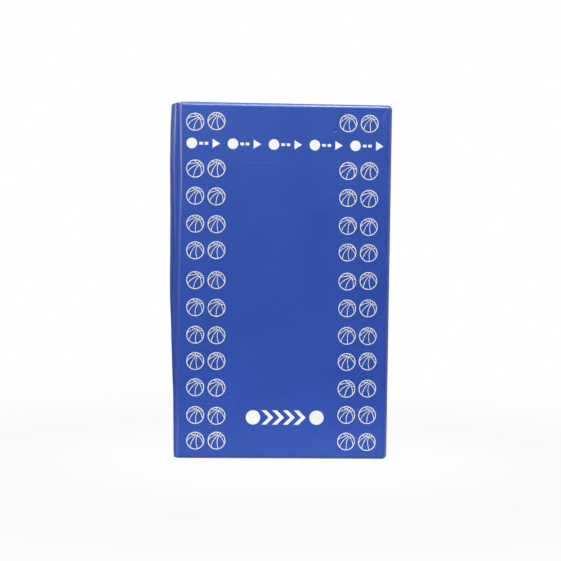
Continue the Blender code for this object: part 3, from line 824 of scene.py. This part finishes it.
def court_end(end_z, way):
    """Marks of one end of a court, in metres from its middle: way is 1 where the end line is at the
    foot and -1 at the top. Lengths run from the end line into the court."""
    def placed(points):
        return np.array(points, float) * (1, way) + (0, end_z)

    bend = math.degrees(math.acos(far_straight / far_round))
    lines = [
        placed(((-lane_half, 0), (-lane_half, lane_long), (lane_half, lane_long), (lane_half, 0))),
        placed(arc((0, lane_long), circle_round, 0, 180, 37)),
        placed(((far_straight, 0), *arc((0, ring_out), far_round, bend, 180 - bend, 91), (-far_straight, 0))),
        placed((
            (near_round, board_out), *arc((0, ring_out), near_round, 0, 180, 31), (-near_round, board_out),
        )),
        placed(((-board_half, board_out), (board_half, board_out))),
        placed(((0, board_out), (0, ring_out - ring_round))),
        placed(arc((0, ring_out), ring_round, 0, 345, 24)),
    ]
    for start in range(180, 360, 30):
        lines.append(placed(arc((0, lane_long), circle_round, start + 6, start + 24, 6)))
    for out in (1.75, 2.6, 3.0, 3.85, 4.7):
        lines += [placed(((side * lane_half, out), (side * (lane_half + 0.28), out))) for side in (-1, 1)]
    lane = placed(((-lane_half, 0), (lane_half, 0), (lane_half, lane_long), (-lane_half, lane_long)))
    return lines, lane if way > 0 else lane[::-1]


def court_strokes(lines, middle_z, closed=False):
    """Strokes for lines given in metres from a court's middle, which stands at a height."""
    return [stroke(line * court_scale + (court_x, middle_z), court_line, closed) for line in lines]


def edge_from(foot, top):
    """A court's outline between two distances from its middle, in metres."""
    return np.array(((-half_wide, foot), (half_wide, foot), (half_wide, top), (-half_wide, top)))


foot_lines, foot_lane = court_end(-half_long, 1)
top_lines, top_lane = court_end(half_long, -1)
halfway, centre = np.array(((-half_wide, 0.0), (half_wide, 0.0))), circle((0, 0), circle_round, 64)
whole_court = court_strokes([*foot_lines, *top_lines, halfway], court_z)
whole_court += court_strokes([edge_from(-half_long, half_long), centre], court_z, closed=True)
whole_areas = [patch(area * court_scale + (court_x, court_z)) for area in (foot_lane, top_lane, centre)]
half_z = 208.0
half_court = court_strokes(foot_lines, half_z)
half_court += court_strokes([edge_from(-half_long, 0.0)], half_z, closed=True)
half_court += court_strokes([arc((0, 0), circle_round, 180, 360, 37)], half_z)
half_areas = [patch(foot_lane * court_scale + (court_x, half_z))]
note_left, note_right, note_foot, note_top = court_x - 99.0, court_x + 99.0, 226.0, 390.0
ruled = [((note_left, z), (note_right, z)) for z in np.arange(234.0, 384.0, 12.5)]
ruled += [((x, note_foot), (x, note_top)) for x in (court_x - 79.0, court_x + 60.0)]
notes = [stroke(np.array(line), note_line) for line in ruled]
note_edge = ((note_left, note_foot), (note_right, note_foot), (note_right, note_top), (note_left, note_top))
notes.append(stroke(np.array(note_edge), court_line, closed=True))


def court_place(side, proud):
    """Places ink on a court sheet, standing proud of it by so much: side is 1 for the rear one, and
    -1 for the front one, which looks the other way and leans with its cover."""
    def place(x, z, raised):
        y = side * (court_face + court_root - raised * (court_root + proud))
        points = np.stack((x, y, z), axis=-1)
        return lean(points) if side < 0 else points

    return place


line_ink = ink("line_ink", (0.014, 0.035, 0.17), 0.42, (0.30, 0.36, 0.52))
area_ink = ink("area_ink", (0.36, 0.55, 0.80), 0.42, (0.62, 0.72, 0.84))
for name, parts, finish, side, lift, body in (
    ("rear_court_areas", whole_areas, area_ink, 1, 0.5 * court_lift, "rear_cover"),
    ("rear_court_lines", whole_court, line_ink, 1, court_lift, "rear_cover"),
    ("front_court_areas", half_areas, area_ink, -1, 0.5 * court_lift, "front_cover"),
    ("front_court_lines", half_court + notes, line_ink, -1, court_lift, "front_cover"),
):
    marks = printed(name, parts, finish, court_place(side, lift), mirrored=side < 0)
    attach(marks, body)


# Liner frames
# Borders of thinner vinyl inside each cover. They lap over the court sheet by a finger's width, are
# pressed down by a ribbed weld near the opening, and join the skin at the lip.
frame_opening, lip_back, lip_front, border_depth = 10.0, 3.0, 3.6, 5.6
weld_at, weld_deep, rib_high, rib_pitch = 8.0, 0.14, 0.05, 2.4
back_inset = (9.75, 6.5, 3.0, 2.65, 2.3, 1.6, 0.9)
back_depth = (5.0, 5.0, 5.0, 4.84, 4.6, 3.8, 3.0)


def rounded_path(left, right, foot, top, hinge_radius, free_radius):
    """Points once round an upright rectangle with rounded corners, against the clock: each corner's
    arc, then evenly spaced steps along the side that follows."""
    corners = (
        (right - free_radius, top - free_radius, free_radius, 0, 64),
        (left + hinge_radius, top - hinge_radius, hinge_radius, 90, 100),
        (left + hinge_radius, foot + hinge_radius, hinge_radius, 180, 64),
        (right - free_radius, foot + free_radius, free_radius, 270, 100),
    )
    bends = [arc((x, z), radius, start, start + 90, 9) for x, z, radius, start, _ in corners]
    parts = []
    for bend, after, (*_, steps) in zip(bends, bends[1:] + bends[:1], corners):
        share = np.linspace(0, 1, steps)[1:-1, None]
        parts += [bend, bend[-1] + share * (after[0] - bend[-1])]
    return np.concatenate(parts)


def frame_line(inset):
    """The frame's outline drawn in from the foot of its slope; less than nothing is the lip's edge."""
    if inset < 0:
        return rounded_path(cover_left, cover_right, 0.0, cover_top, hinge_corner, free_corner)
    radii = (max(hinge_corner - inset - lip, 0.4), max(free_corner - inset - lip, 1.2))
    left, right = cover_left + lip_at_hinge + inset, cover_right - lip - inset
    return rounded_path(left, right, lip + inset, cover_top - lip - inset, *radii)


def frame_depth(inset):
    """Depth of the frame's open face below the cover's outer face: it climbs from the lip and rounds
    over into a flat border with a pressed weld, and drops off in a small round at the opening."""
    climb = np.clip(inset / slope, 0, 1)
    depth = lip_front + (border_depth - lip_front) * (1 - (1 - climb) ** 1.8)
    depth -= weld_deep * bell(inset, weld_at, 0.42)
    past = np.clip((inset - frame_opening + 0.3) / 0.3, 0, 1)
    return depth - 0.3 * (1 - np.sqrt(1 - past**2))


def liner_frame(name, side):
    """One frame: its section, a closed loop of inset and depth, carried round the rounded outline.
    The weld is ribbed along its length, and the border waves a little between its corners."""
    face_inset = stations((0.0, 0), (slope, 10), (weld_at - 1.0, 6), (weld_at + 1.0, 12), (frame_opening, 10))
    inset = np.concatenate((back_inset, (-1.0, -1.0), face_inset))
    depth = np.concatenate((back_depth, (lip_back, lip_front), frame_depth(face_inset)))
    outline = np.stack([frame_line(value) for value in inset])
    along = np.concatenate(((0.0,), np.cumsum(np.hypot(*np.diff(outline[-1], axis=0).T))))
    rib = rib_high * np.sin(along * math.tau / rib_pitch)
    wave = 0.04 * np.sin(along * math.tau / 97.0 + 1.0) + 0.03 * np.sin(along * math.tau / 41.0)
    on_front = np.arange(len(inset)) > len(back_inset) + 1
    on_weld = bell(inset, weld_at, 0.5) * on_front
    on_face = np.clip((inset - 3.0) / 2.0, 0, 1) * on_front
    deep = depth[:, None] + on_weld[:, None] * rib - on_face[:, None] * np.abs(wave)
    points = np.stack((outline[..., 0], side * (outer_y - deep), outline[..., 1]), axis=-1).reshape(-1, 3)
    if side < 0:
        points = lean(points)
    faces = [quads(len(inset), outline.shape[1], wrap_rows=True, wrap_columns=True)]
    wear = 0.3 * np.repeat(bell(inset, frame_opening, 0.5), outline.shape[1])
    return make_piece(name, points, faces, blue_liner, side < 0, wear=wear)


for name, side, body in (("rear_liner_frame", 1, "rear_cover"), ("front_liner_frame", -1, "front_cover")):
    border = liner_frame(name + "_welded", side)
    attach(border, body)
    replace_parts(border, name)


# Pen loop
# A short tube of black ribbed elastic, sewn to the spine's liner on its far side. It grips the
# marker's barrel and cap.
loop_low, loop_high = (1000 * np.array(corner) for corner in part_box("pen_loop"))
marker_x, marker_y = (loop_low[:2] + loop_high[:2]) / 2
loop_outer, loop_inner, loop_bulge = (loop_high[0] - loop_low[0]) / 2, 5.3, 0.55
band_rib, band_ribs, thread_across, thread_up = 0.10, 16, 0.55, 0.00075


def loop_section():
    """Radius and height round the band's wall: ribs outside, plain inside, rounded at both edges."""
    height = loop_high[2] - loop_low[2]
    z = np.linspace(0.25, height - 0.25, 97)
    share = (z - 0.25) / (height - 0.5)
    ribs = loop_outer - band_rib + band_rib * np.cos(share * math.tau * band_ribs) ** 2
    outside = np.column_stack((ribs, z))
    over = np.array((
        (loop_outer - 0.2, height - 0.05), (loop_outer - 0.4, height), (loop_inner + 0.1, height - 0.1),
    ))
    inside_wall = np.array(((loop_inner, height - 0.4), (loop_inner, height / 2), (loop_inner, 0.4)))
    under = over[::-1] * (1, -1) + (0, height)
    return np.concatenate((outside, over, inside_wall, under))


section = loop_section()
angle = np.linspace(0, math.tau, 120, endpoint=False)
towards_liner = np.clip(np.cos(angle - math.pi), 0, 1) ** 6
outer_share = np.clip((section[:, 0] - loop_inner) / (loop_outer - loop_inner), 0, 1)
radius = section[:, :1] + loop_bulge * outer_share[:, None] * towards_liner
points = np.stack((
    marker_x + radius * np.cos(angle), marker_y + radius * np.sin(angle),
    loop_low[2] + np.repeat(section[:, 1:], len(angle), axis=1),
), axis=-1).reshape(-1, 3)
around = np.tile(angle * loop_outer, len(section))
elastic, shader, at = surface("elastic", Specular_IOR_Level=0.25, Sheen_Weight=0.30, Sheen_Roughness=0.4)
warp = math_node("SINE", math_node("MULTIPLY", mask(at, "around"), math.tau / thread_across))
height = node(at.id_data, "SeparateXYZ", Vector=at).outputs["Z"]
rise = math_node("MULTIPLY", height, math.tau / thread_up)
crossing = math_node("MULTIPLY", warp, math_node("SINE", rise))
lint = noise(at, Scale=2200.0, Detail=3.0)
black = blended(spread(crossing, -1.0, 1.0), (0.008, 0.008, 0.010), (0.030, 0.030, 0.034))
black = blended(spread(lint, 0.66, 0.74, 0.0, 0.4), black, (0.12, 0.12, 0.13))
coat(shader, black, spread(lint, 0.3, 0.7, 0.72, 0.9), crossing, 0.8, 0.00006)
pen_loop = make_piece("pen_loop_woven", points, [quads(len(section), len(angle), True, True)], elastic,
                      around=around)
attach(pen_loop, "spine")
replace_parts(pen_loop, "pen_loop")


# Marker
# A dry-wipe marker: white moulded barrel with a black end plug, a wadding core and a bullet nib of
# bonded fibre, under a ribbed black cap with a felt eraser pressed into its end.
marker_foot = 1000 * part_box("marker_end_plug")[0][2]
grip_from, grip_to, grip_fade, grips, grip_deep = 99.0, 121.0, 1.5, 24, 0.16


def rounded_profile(corners, roundings, steps=5):
    """A section of (radius, height) from its corners, with each corner cut by a curve: the corner's
    quadratic Bezier between points that lie a rounding away along its two sides."""
    corners = np.array(corners, float)
    share = np.linspace(0, 1, steps)[:, None]
    points = []
    for i, rounding in enumerate(roundings):
        corner, before, after = corners[i], corners[i - 1], corners[(i + 1) % len(corners)]
        if rounding == 0:
            points.append(corner[None])
            continue
        start = corner + (before - corner) / np.linalg.norm(before - corner) * rounding
        end = corner + (after - corner) / np.linalg.norm(after - corner) * rounding
        points.append((1 - share) ** 2 * start + 2 * share * (1 - share) * corner + share**2 * end)
    return np.concatenate(points)


def turned(name, profile, centre, material, steps=96, facing="up", ribs=None):
    """Turns a section of (radius, height) round an axis through centre that points up or to -Y. A
    section whose ends lie on the axis is closed by a pole at each end, and any other is a loop. Ribs
    give how much to take off the radius at each section point and angle."""
    radius, height = profile.T
    angle = np.linspace(0, math.tau, steps, endpoint=False)
    solid = radius[0] == 0 and radius[-1] == 0
    rows = slice(1, -1) if solid else slice(None)
    out = np.repeat(radius[rows, None], steps, axis=1)
    if ribs is not None:
        out = out - ribs(height[rows, None], angle[None, :])
    along = np.repeat(height[rows, None], steps, axis=1)
    points = np.stack((out * np.cos(angle), out * np.sin(angle), along), axis=-1).reshape(-1, 3)
    count = out.shape[0]
    faces = [quads(count, steps, wrap_rows=not solid, wrap_columns=True)]
    if solid:
        low, high = np.array((0, 0, height[0])), np.array((0, 0, height[-1]))
        points = np.concatenate((points, (low, high)))
        here = np.arange(steps)
        after = (here + 1) % steps
        last = (count - 1) * steps
        faces.append(np.stack((after, here, np.full(steps, count * steps)), axis=1))
        faces.append(np.stack((last + here, last + after, np.full(steps, count * steps + 1)), axis=1))
    if facing == "front":
        points = points[:, (0, 2, 1)] * (1, -1, 1)
    return make_piece(name, points + centre, faces, material)


def moulded(name, colour, roughness):
    """Injection-moulded plastic: a fine spark texture, faint flow marks and small handling marks."""
    material, shader, at = surface(name, Specular_IOR_Level=0.5)
    tone = grouped(at, mottle, Patch_Size=0.012, Speck_Size=0.0010)
    grain = grouped(at, emboss, Grain_Size=0.00028)
    marks = noise(at, Scale=380.0, Detail=5.0, Roughness=0.7, Distortion=1.5)
    light = tuple(min(1.0, c * 1.06 + 0.003) for c in colour)
    dark = tuple(c * 0.92 for c in colour)
    base = blended(spread(tone.outputs["Tone"], 0.3, 0.7), dark, light)
    base = blended(math_node("MULTIPLY", tone.outputs["Specks"], 0.25), base, (0.5, 0.5, 0.5))
    coat(shader, base, spread(marks, 0.45, 0.75, roughness, roughness + 0.16),
         grain.outputs["Height"], 0.6, 0.000008)
    return material


def fibrous(name, colour, pale, strand):
    """Bonded or felted fibre: matt, uneven, with loose pale hairs on it."""
    material, shader, at = surface(name, Specular_IOR_Level=0.15, Roughness=0.95, Sheen_Weight=0.35,
                                   Sheen_Roughness=0.5)
    wool = noise(at, Scale=1 / strand, Detail=5.0, Roughness=0.75, Distortion=1.0)
    coat(shader, blended(spread(wool, 0.38, 0.66), colour, pale), None, wool, 1.0, 0.00015)
    return material


def grip_ribs(height, angle):
    """Grooves up the cap's side, faded out towards its two ends."""
    ends = np.clip((height - grip_from) / grip_fade, 0, 1) * np.clip((grip_to - height) / grip_fade, 0, 1)
    return grip_deep * ends * (0.5 + 0.5 * np.cos(grips * angle)) ** 2


marker_white = moulded("marker_white", (0.78, 0.78, 0.77), 0.24)
marker_black = moulded("marker_black", (0.012, 0.012, 0.014), 0.28)
black_fibre = fibrous("black_fibre", (0.006, 0.006, 0.007), (0.035, 0.035, 0.04), 0.00045)
grey_felt = fibrous("grey_felt", (0.09, 0.09, 0.10), (0.24, 0.24, 0.25), 0.0006)
barrel = rounded_profile(
    ((4.0, 2.3), (5.0, 2.3), (5.0, 8.0), (4.86, 8.4), (4.86, 9.2), (5.0, 9.6), (5.0, 96.0), (3.9, 96.0),
     (3.9, 108.0), (2.7, 113.0), (1.9, 113.0), (1.9, 95.0), (4.0, 93.5)),
    (0.1, 0.35, 0.1, 0.1, 0.1, 0.1, 0.45, 0.1, 0.6, 0.35, 0.1, 0.1, 0.1))
plug = rounded_profile(
    ((0, 0), (5.0, 0), (5.0, 2.0), (3.7, 2.0), (3.7, 7.0), (0, 7.0)), (0, 1.0, 0.15, 0.05, 0.3, 0))
core = rounded_profile(((0, 7.5), (3.5, 7.5), (3.5, 91.0), (0, 91.0)), (0, 0.4, 0.4, 0))
nib = rounded_profile(((0, 91.4), (1.6, 91.4), (1.6, 115.4), (0, 117.2)), (0, 0.1, 1.3, 0))
nib[-1] = (0, nib[-2, 1])
hood = rounded_profile(
    ((0, 123.6), (3.6, 123.6), (4.25, 122.0), (4.25, 96.3), (5.0, 96.3), (5.0, 98.0),
     *((5.0, z) for z in np.linspace(98.5, 121.5, 30)), (5.0, 122.0), (5.0, 128.9), (4.5, 128.9),
     (4.5, 125.6), (0, 125.6)),
    (0, 0.2, 0.2, 0.1, 0.25, *[0] * 32, 0.3, 0.15, 0.1, 0))
pad = rounded_profile(((0, 125.9), (4.2, 125.9), (4.2, 132.2), (0, 132.2)), (0, 0.2, 1.1, 0))
marker_at = np.array((marker_x, marker_y, marker_foot))
for name, profile, material, body, slot, ribs in (
    ("marker_barrel", barrel, marker_white, "marker", "marker_white", None),
    ("marker_end_plug", plug, marker_black, "marker", "marker_black", None),
    ("marker_ink_core", core, black_fibre, "marker", "ink", None),
    ("marker_nib", nib, black_fibre, "marker", "ink", None),
    ("marker_cap", hood, marker_black, "marker_cap", "marker_black", grip_ribs),
    ("cap_eraser", pad, grey_felt, "marker_cap", "felt", None),
):
    made = turned(name + "_turned", profile, marker_at, material, steps=144 if ribs else 72, ribs=ribs)
    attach(made, body)
    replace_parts(made, name)


# Magnets
# Players are moulded discs, five red and five yellow, with a raised rim round a sunk face and a
# plain number on it. The ball is a smaller domed disc. A ferrite core is pressed into each back.
ferrite, shader, at = surface("ferrite", Specular_IOR_Level=0.40)
sintered = noise(at, Scale=1500.0, Detail=5.0, Roughness=0.7)
dark = blended(spread(sintered, 0.35, 0.65), (0.024, 0.023, 0.022), (0.060, 0.057, 0.054))
coat(shader, dark, spread(sintered, 0.3, 0.7, 0.50, 0.72), sintered, 0.5, 0.00003)
disc_thick, disc_sunk, rim_wide, core_deep = 4.0, 0.3, 2.2, 1.9
dome_drop, dome_rise, dome_inset, seam_round, seam_wide = 0.35, 0.65, 1.6, 5.6, 0.55
number_size, number_bold, number_high, number_root, ink_in, ink_out = 0.0118, 0.00022, 0.16, 0.10, 0.05, 0.06


def dome_height(out, radius):
    """Height of the ball's domed face over its back, at a distance out from its middle."""
    return disc_thick - dome_drop + dome_rise * (1 - (out / (radius - dome_inset)) ** 2)


def dome_place(middle, radius):
    """Places ink on the ball's domed face, about its middle."""
    def place(x, z, raised):
        y = ink_in - (ink_in + ink_out) * raised - dome_height(np.hypot(x, z), radius)
        return middle + np.stack((x, y, z), axis=-1)

    return place


def disc_profile(radius, domed):
    """A magnet's shell from its back's middle, round the pocket for the core and the outside, to
    the middle of its face."""
    rim = radius - rim_wide
    corners = [(0, core_deep), (rim - 0.3, core_deep), (rim - 0.3, 0), (radius, 0), (radius, disc_thick)]
    roundings = [0, 0.15, 0.1, 0.4, 0.9]
    if domed:
        bulge = np.linspace(radius - dome_inset, 0, 24)
        face = np.column_stack((bulge, dome_height(bulge, radius)))
        corners[-1] = (radius, disc_thick - dome_drop)
        return np.concatenate((rounded_profile(corners + [face[0]], roundings + [0.2]), face[1:]))
    corners += [(rim + 0.3, disc_thick), (rim, disc_thick - disc_sunk), (0, disc_thick - disc_sunk)]
    return rounded_profile(corners, roundings + [0.25, 0.15, 0])


def number_mesh(figure, centre, top_y, root_y, material, name):
    """A plain figure, 8.5 mm tall, stood on a disc's face: filled, thickened, and turned upright."""
    text = bpy.data.curves.new(name, "FONT")
    text.body = figure
    text.align_x = "CENTER"
    text.size = number_size
    text.extrude = (root_y - top_y) / 2000
    text.offset = number_bold
    made = bpy.data.objects.new(name + "_text", text)
    bpy.context.scene.collection.objects.link(made)
    bpy.context.view_layer.update()
    mesh = bpy.data.meshes.new_from_object(made.evaluated_get(bpy.context.evaluated_depsgraph_get()))
    bpy.data.objects.remove(made)
    bpy.data.curves.remove(text)
    joined = bmesh.new()
    joined.from_mesh(mesh)
    bmesh.ops.remove_doubles(joined, verts=joined.verts, dist=1e-6)
    joined.to_mesh(mesh)
    joined.free()
    points = np.empty(len(mesh.vertices) * 3)
    mesh.vertices.foreach_get("co", points)
    points = points.reshape(-1, 3)
    middle = (points.min(axis=0) + points.max(axis=0)) / 2
    points -= middle
    x, z, y = points.T
    centre_y = (top_y + root_y) / 2000
    upright = np.stack((centre[0] / 1000 + x, centre_y - y, centre[2] / 1000 + z), axis=-1)
    mesh.vertices.foreach_set("co", upright.reshape(-1))
    mesh.materials.clear()
    mesh.materials.append(material)
    mesh.name = name
    mesh.update()
    figure_piece = bpy.data.objects.new(name, mesh)
    bpy.context.scene.collection.objects.link(figure_piece)
    return figure_piece


number_inks = {"red": ink("white_number", (0.80, 0.80, 0.78), 0.40, (0.62, 0.10, 0.09)),
               "yellow": ink("black_number", (0.015, 0.015, 0.017), 0.40, (0.45, 0.30, 0.03))}
disc_plastics = {
    "red": moulded("magnet_red", (0.60, 0.020, 0.018), 0.26),
    "yellow": moulded("magnet_yellow", (0.82, 0.52, 0.025), 0.26),
    "ball": moulded("magnet_orange", (0.78, 0.20, 0.022), 0.34),
}
words = [f"{colour}_magnet_{number}" for colour in ("red", "yellow") for number in range(1, 6)]
for word in (*words, "ball_magnet"):
    colour = word.split("_")[0]
    low, high = (1000 * np.array(corner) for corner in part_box(word + "_shell"))
    middle = np.array(((low[0] + high[0]) / 2, high[1], (low[2] + high[2]) / 2))
    disc_radius = (high[0] - low[0]) / 2
    disc = turned(word + "_disc", disc_profile(disc_radius, colour == "ball"), middle, disc_plastics[colour],
                  facing="front")
    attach(disc, word)
    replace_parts(disc, word + "_shell")
    frame["nodes"][word + "_core"].material_slots[0].material = ferrite
    if colour == "ball":
        bow = np.linspace(-1, 1, 25)
        level = np.column_stack((seam_round * bow, np.zeros(25)))
        curves = [np.column_stack((way * (2.3 + 1.66 * bow**2), 3.95 * bow)) for way in (-1, 1)]
        seams = [stroke(circle((0, 0), seam_round, 60), seam_wide, closed=True)]
        seams += [stroke(path, seam_wide) for path in (level, level[:, ::-1], *curves)]
        figure = printed(word + "_seams", seams, number_inks["yellow"], dome_place(middle, disc_radius))
    else:
        face_y = middle[1] - disc_thick + disc_sunk
        figure = number_mesh(word[-1], middle, face_y - number_high, face_y + number_root,
                             number_inks[colour], word + "_number")
    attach(figure, word)


# Studio
# A white floor under plain soft light from five lamps: overhead, in front, at both sides and behind.
# Camera rays see pure white beyond the floor's faint shadow.
def lamp(name, place, target, size, power):
    """A square area lamp that looks from one place to another, in metres."""
    data = bpy.data.lights.new(name, "AREA")
    data.energy = power
    data.shape = "RECTANGLE"
    data.size, data.size_y = size
    made = bpy.data.objects.new(name, data)
    made.location = place
    away = np.array(place) - np.array(target)
    spin = math.atan2(away[1], away[0]) + math.pi / 2
    made.rotation_euler = (math.acos(away[2] / np.linalg.norm(away)), 0, spin)
    bpy.context.scene.collection.objects.link(made)


def mixed_into(output, share, first, second):
    """Mixes two shaders by a share and links the result to a new output node."""
    tree = share.id_data
    mixed = node(tree, "MixShader", Fac=share)
    tree.links.new(first.outputs[0], mixed.inputs[1])
    tree.links.new(second.outputs[0], mixed.inputs[2])
    tree.links.new(mixed.outputs[0], node(tree, output).inputs["Surface"])


lamp("overhead_softbox", (0.05, -0.20, 1.25), (0.0, -0.18, 0.0), (1.2, 0.17), 15.6)
lamp("front_softbox", (-0.2, -1.5, 1.08), (0.0, 0.0, 0.29), (1.0, 0.7), 11.2)
lamp("left_softbox", (-1.7, -0.8, 0.7), (0.0, 0.0, 0.2), (0.5, 1.2), 8.0)
lamp("right_softbox", (1.7, -0.45, 0.6), (0.0, 0.0, 0.2), (0.7, 1.3), 7.0)
lamp("rear_softbox", (0.3, 1.8, 1.1), (0.0, 0.0, 0.2), (1.2, 1.2), 12.0)

world = bpy.data.worlds.new("studio")
world.use_nodes = True
bpy.context.scene.world = world
tree = world.node_tree
tree.nodes.clear()
seen = node(tree, "LightPath")
straight = math_node("MAXIMUM", seen.outputs["Is Camera Ray"], seen.outputs["Is Transmission Ray"])
heading = node(tree, "SeparateXYZ", Vector=node(tree, "TexCoord").outputs["Generated"])
backdrop = spread(heading.outputs["Y"], 0.1, 0.7, 0.20, 1.0)
mirrored = math_node("MULTIPLY", seen.outputs["Is Glossy Ray"], backdrop)
shown = math_node("MAXIMUM", straight, mirrored)
fill = node(tree, "Background", Color=(1, 1, 1, 1), Strength=0.28)
white = node(tree, "Background", Color=(1, 1, 1, 1), Strength=shown)
mixed_into("OutputWorld", math_node("MAXIMUM", straight, seen.outputs["Is Glossy Ray"]), fill, white)

floor_points = np.array(((-4000, -4000, 0), (4000, -4000, 0), (4000, 4000, 0), (-4000, 4000, 0)), float)
floor_paint = bpy.data.materials.new("floor_paint")
floor_paint.use_nodes = True
tree = floor_paint.node_tree
tree.nodes.clear()
glow = node(tree, "Emission", Color=(1, 1, 1, 1), Strength=1.0)
seen = node(tree, "LightPath")
reach = node(tree, "VectorMath", {"operation": "LENGTH"}, Vector=node(tree, "TexCoord").outputs["Object"])
whiteness = spread(reach.outputs["Value"], 0.25, 0.9, 0.93, 1.0)
shade = spread(reach.outputs["Value"], 0.05, 0.40, 0.80, 0.10)
grey = node(tree, "CombineColor", Red=shade, Green=shade, Blue=shade).outputs[0]
matt = node(tree, "BsdfDiffuse", Color=grey)
mixed_into("OutputMaterial", math_node("MULTIPLY", seen.outputs["Is Camera Ray"], whiteness), matt, glow)
floor = make_piece("floor", floor_points, [np.array([[0, 1, 2, 3]])], floor_paint)

bpy.context.scene.view_settings.view_transform = "Standard"
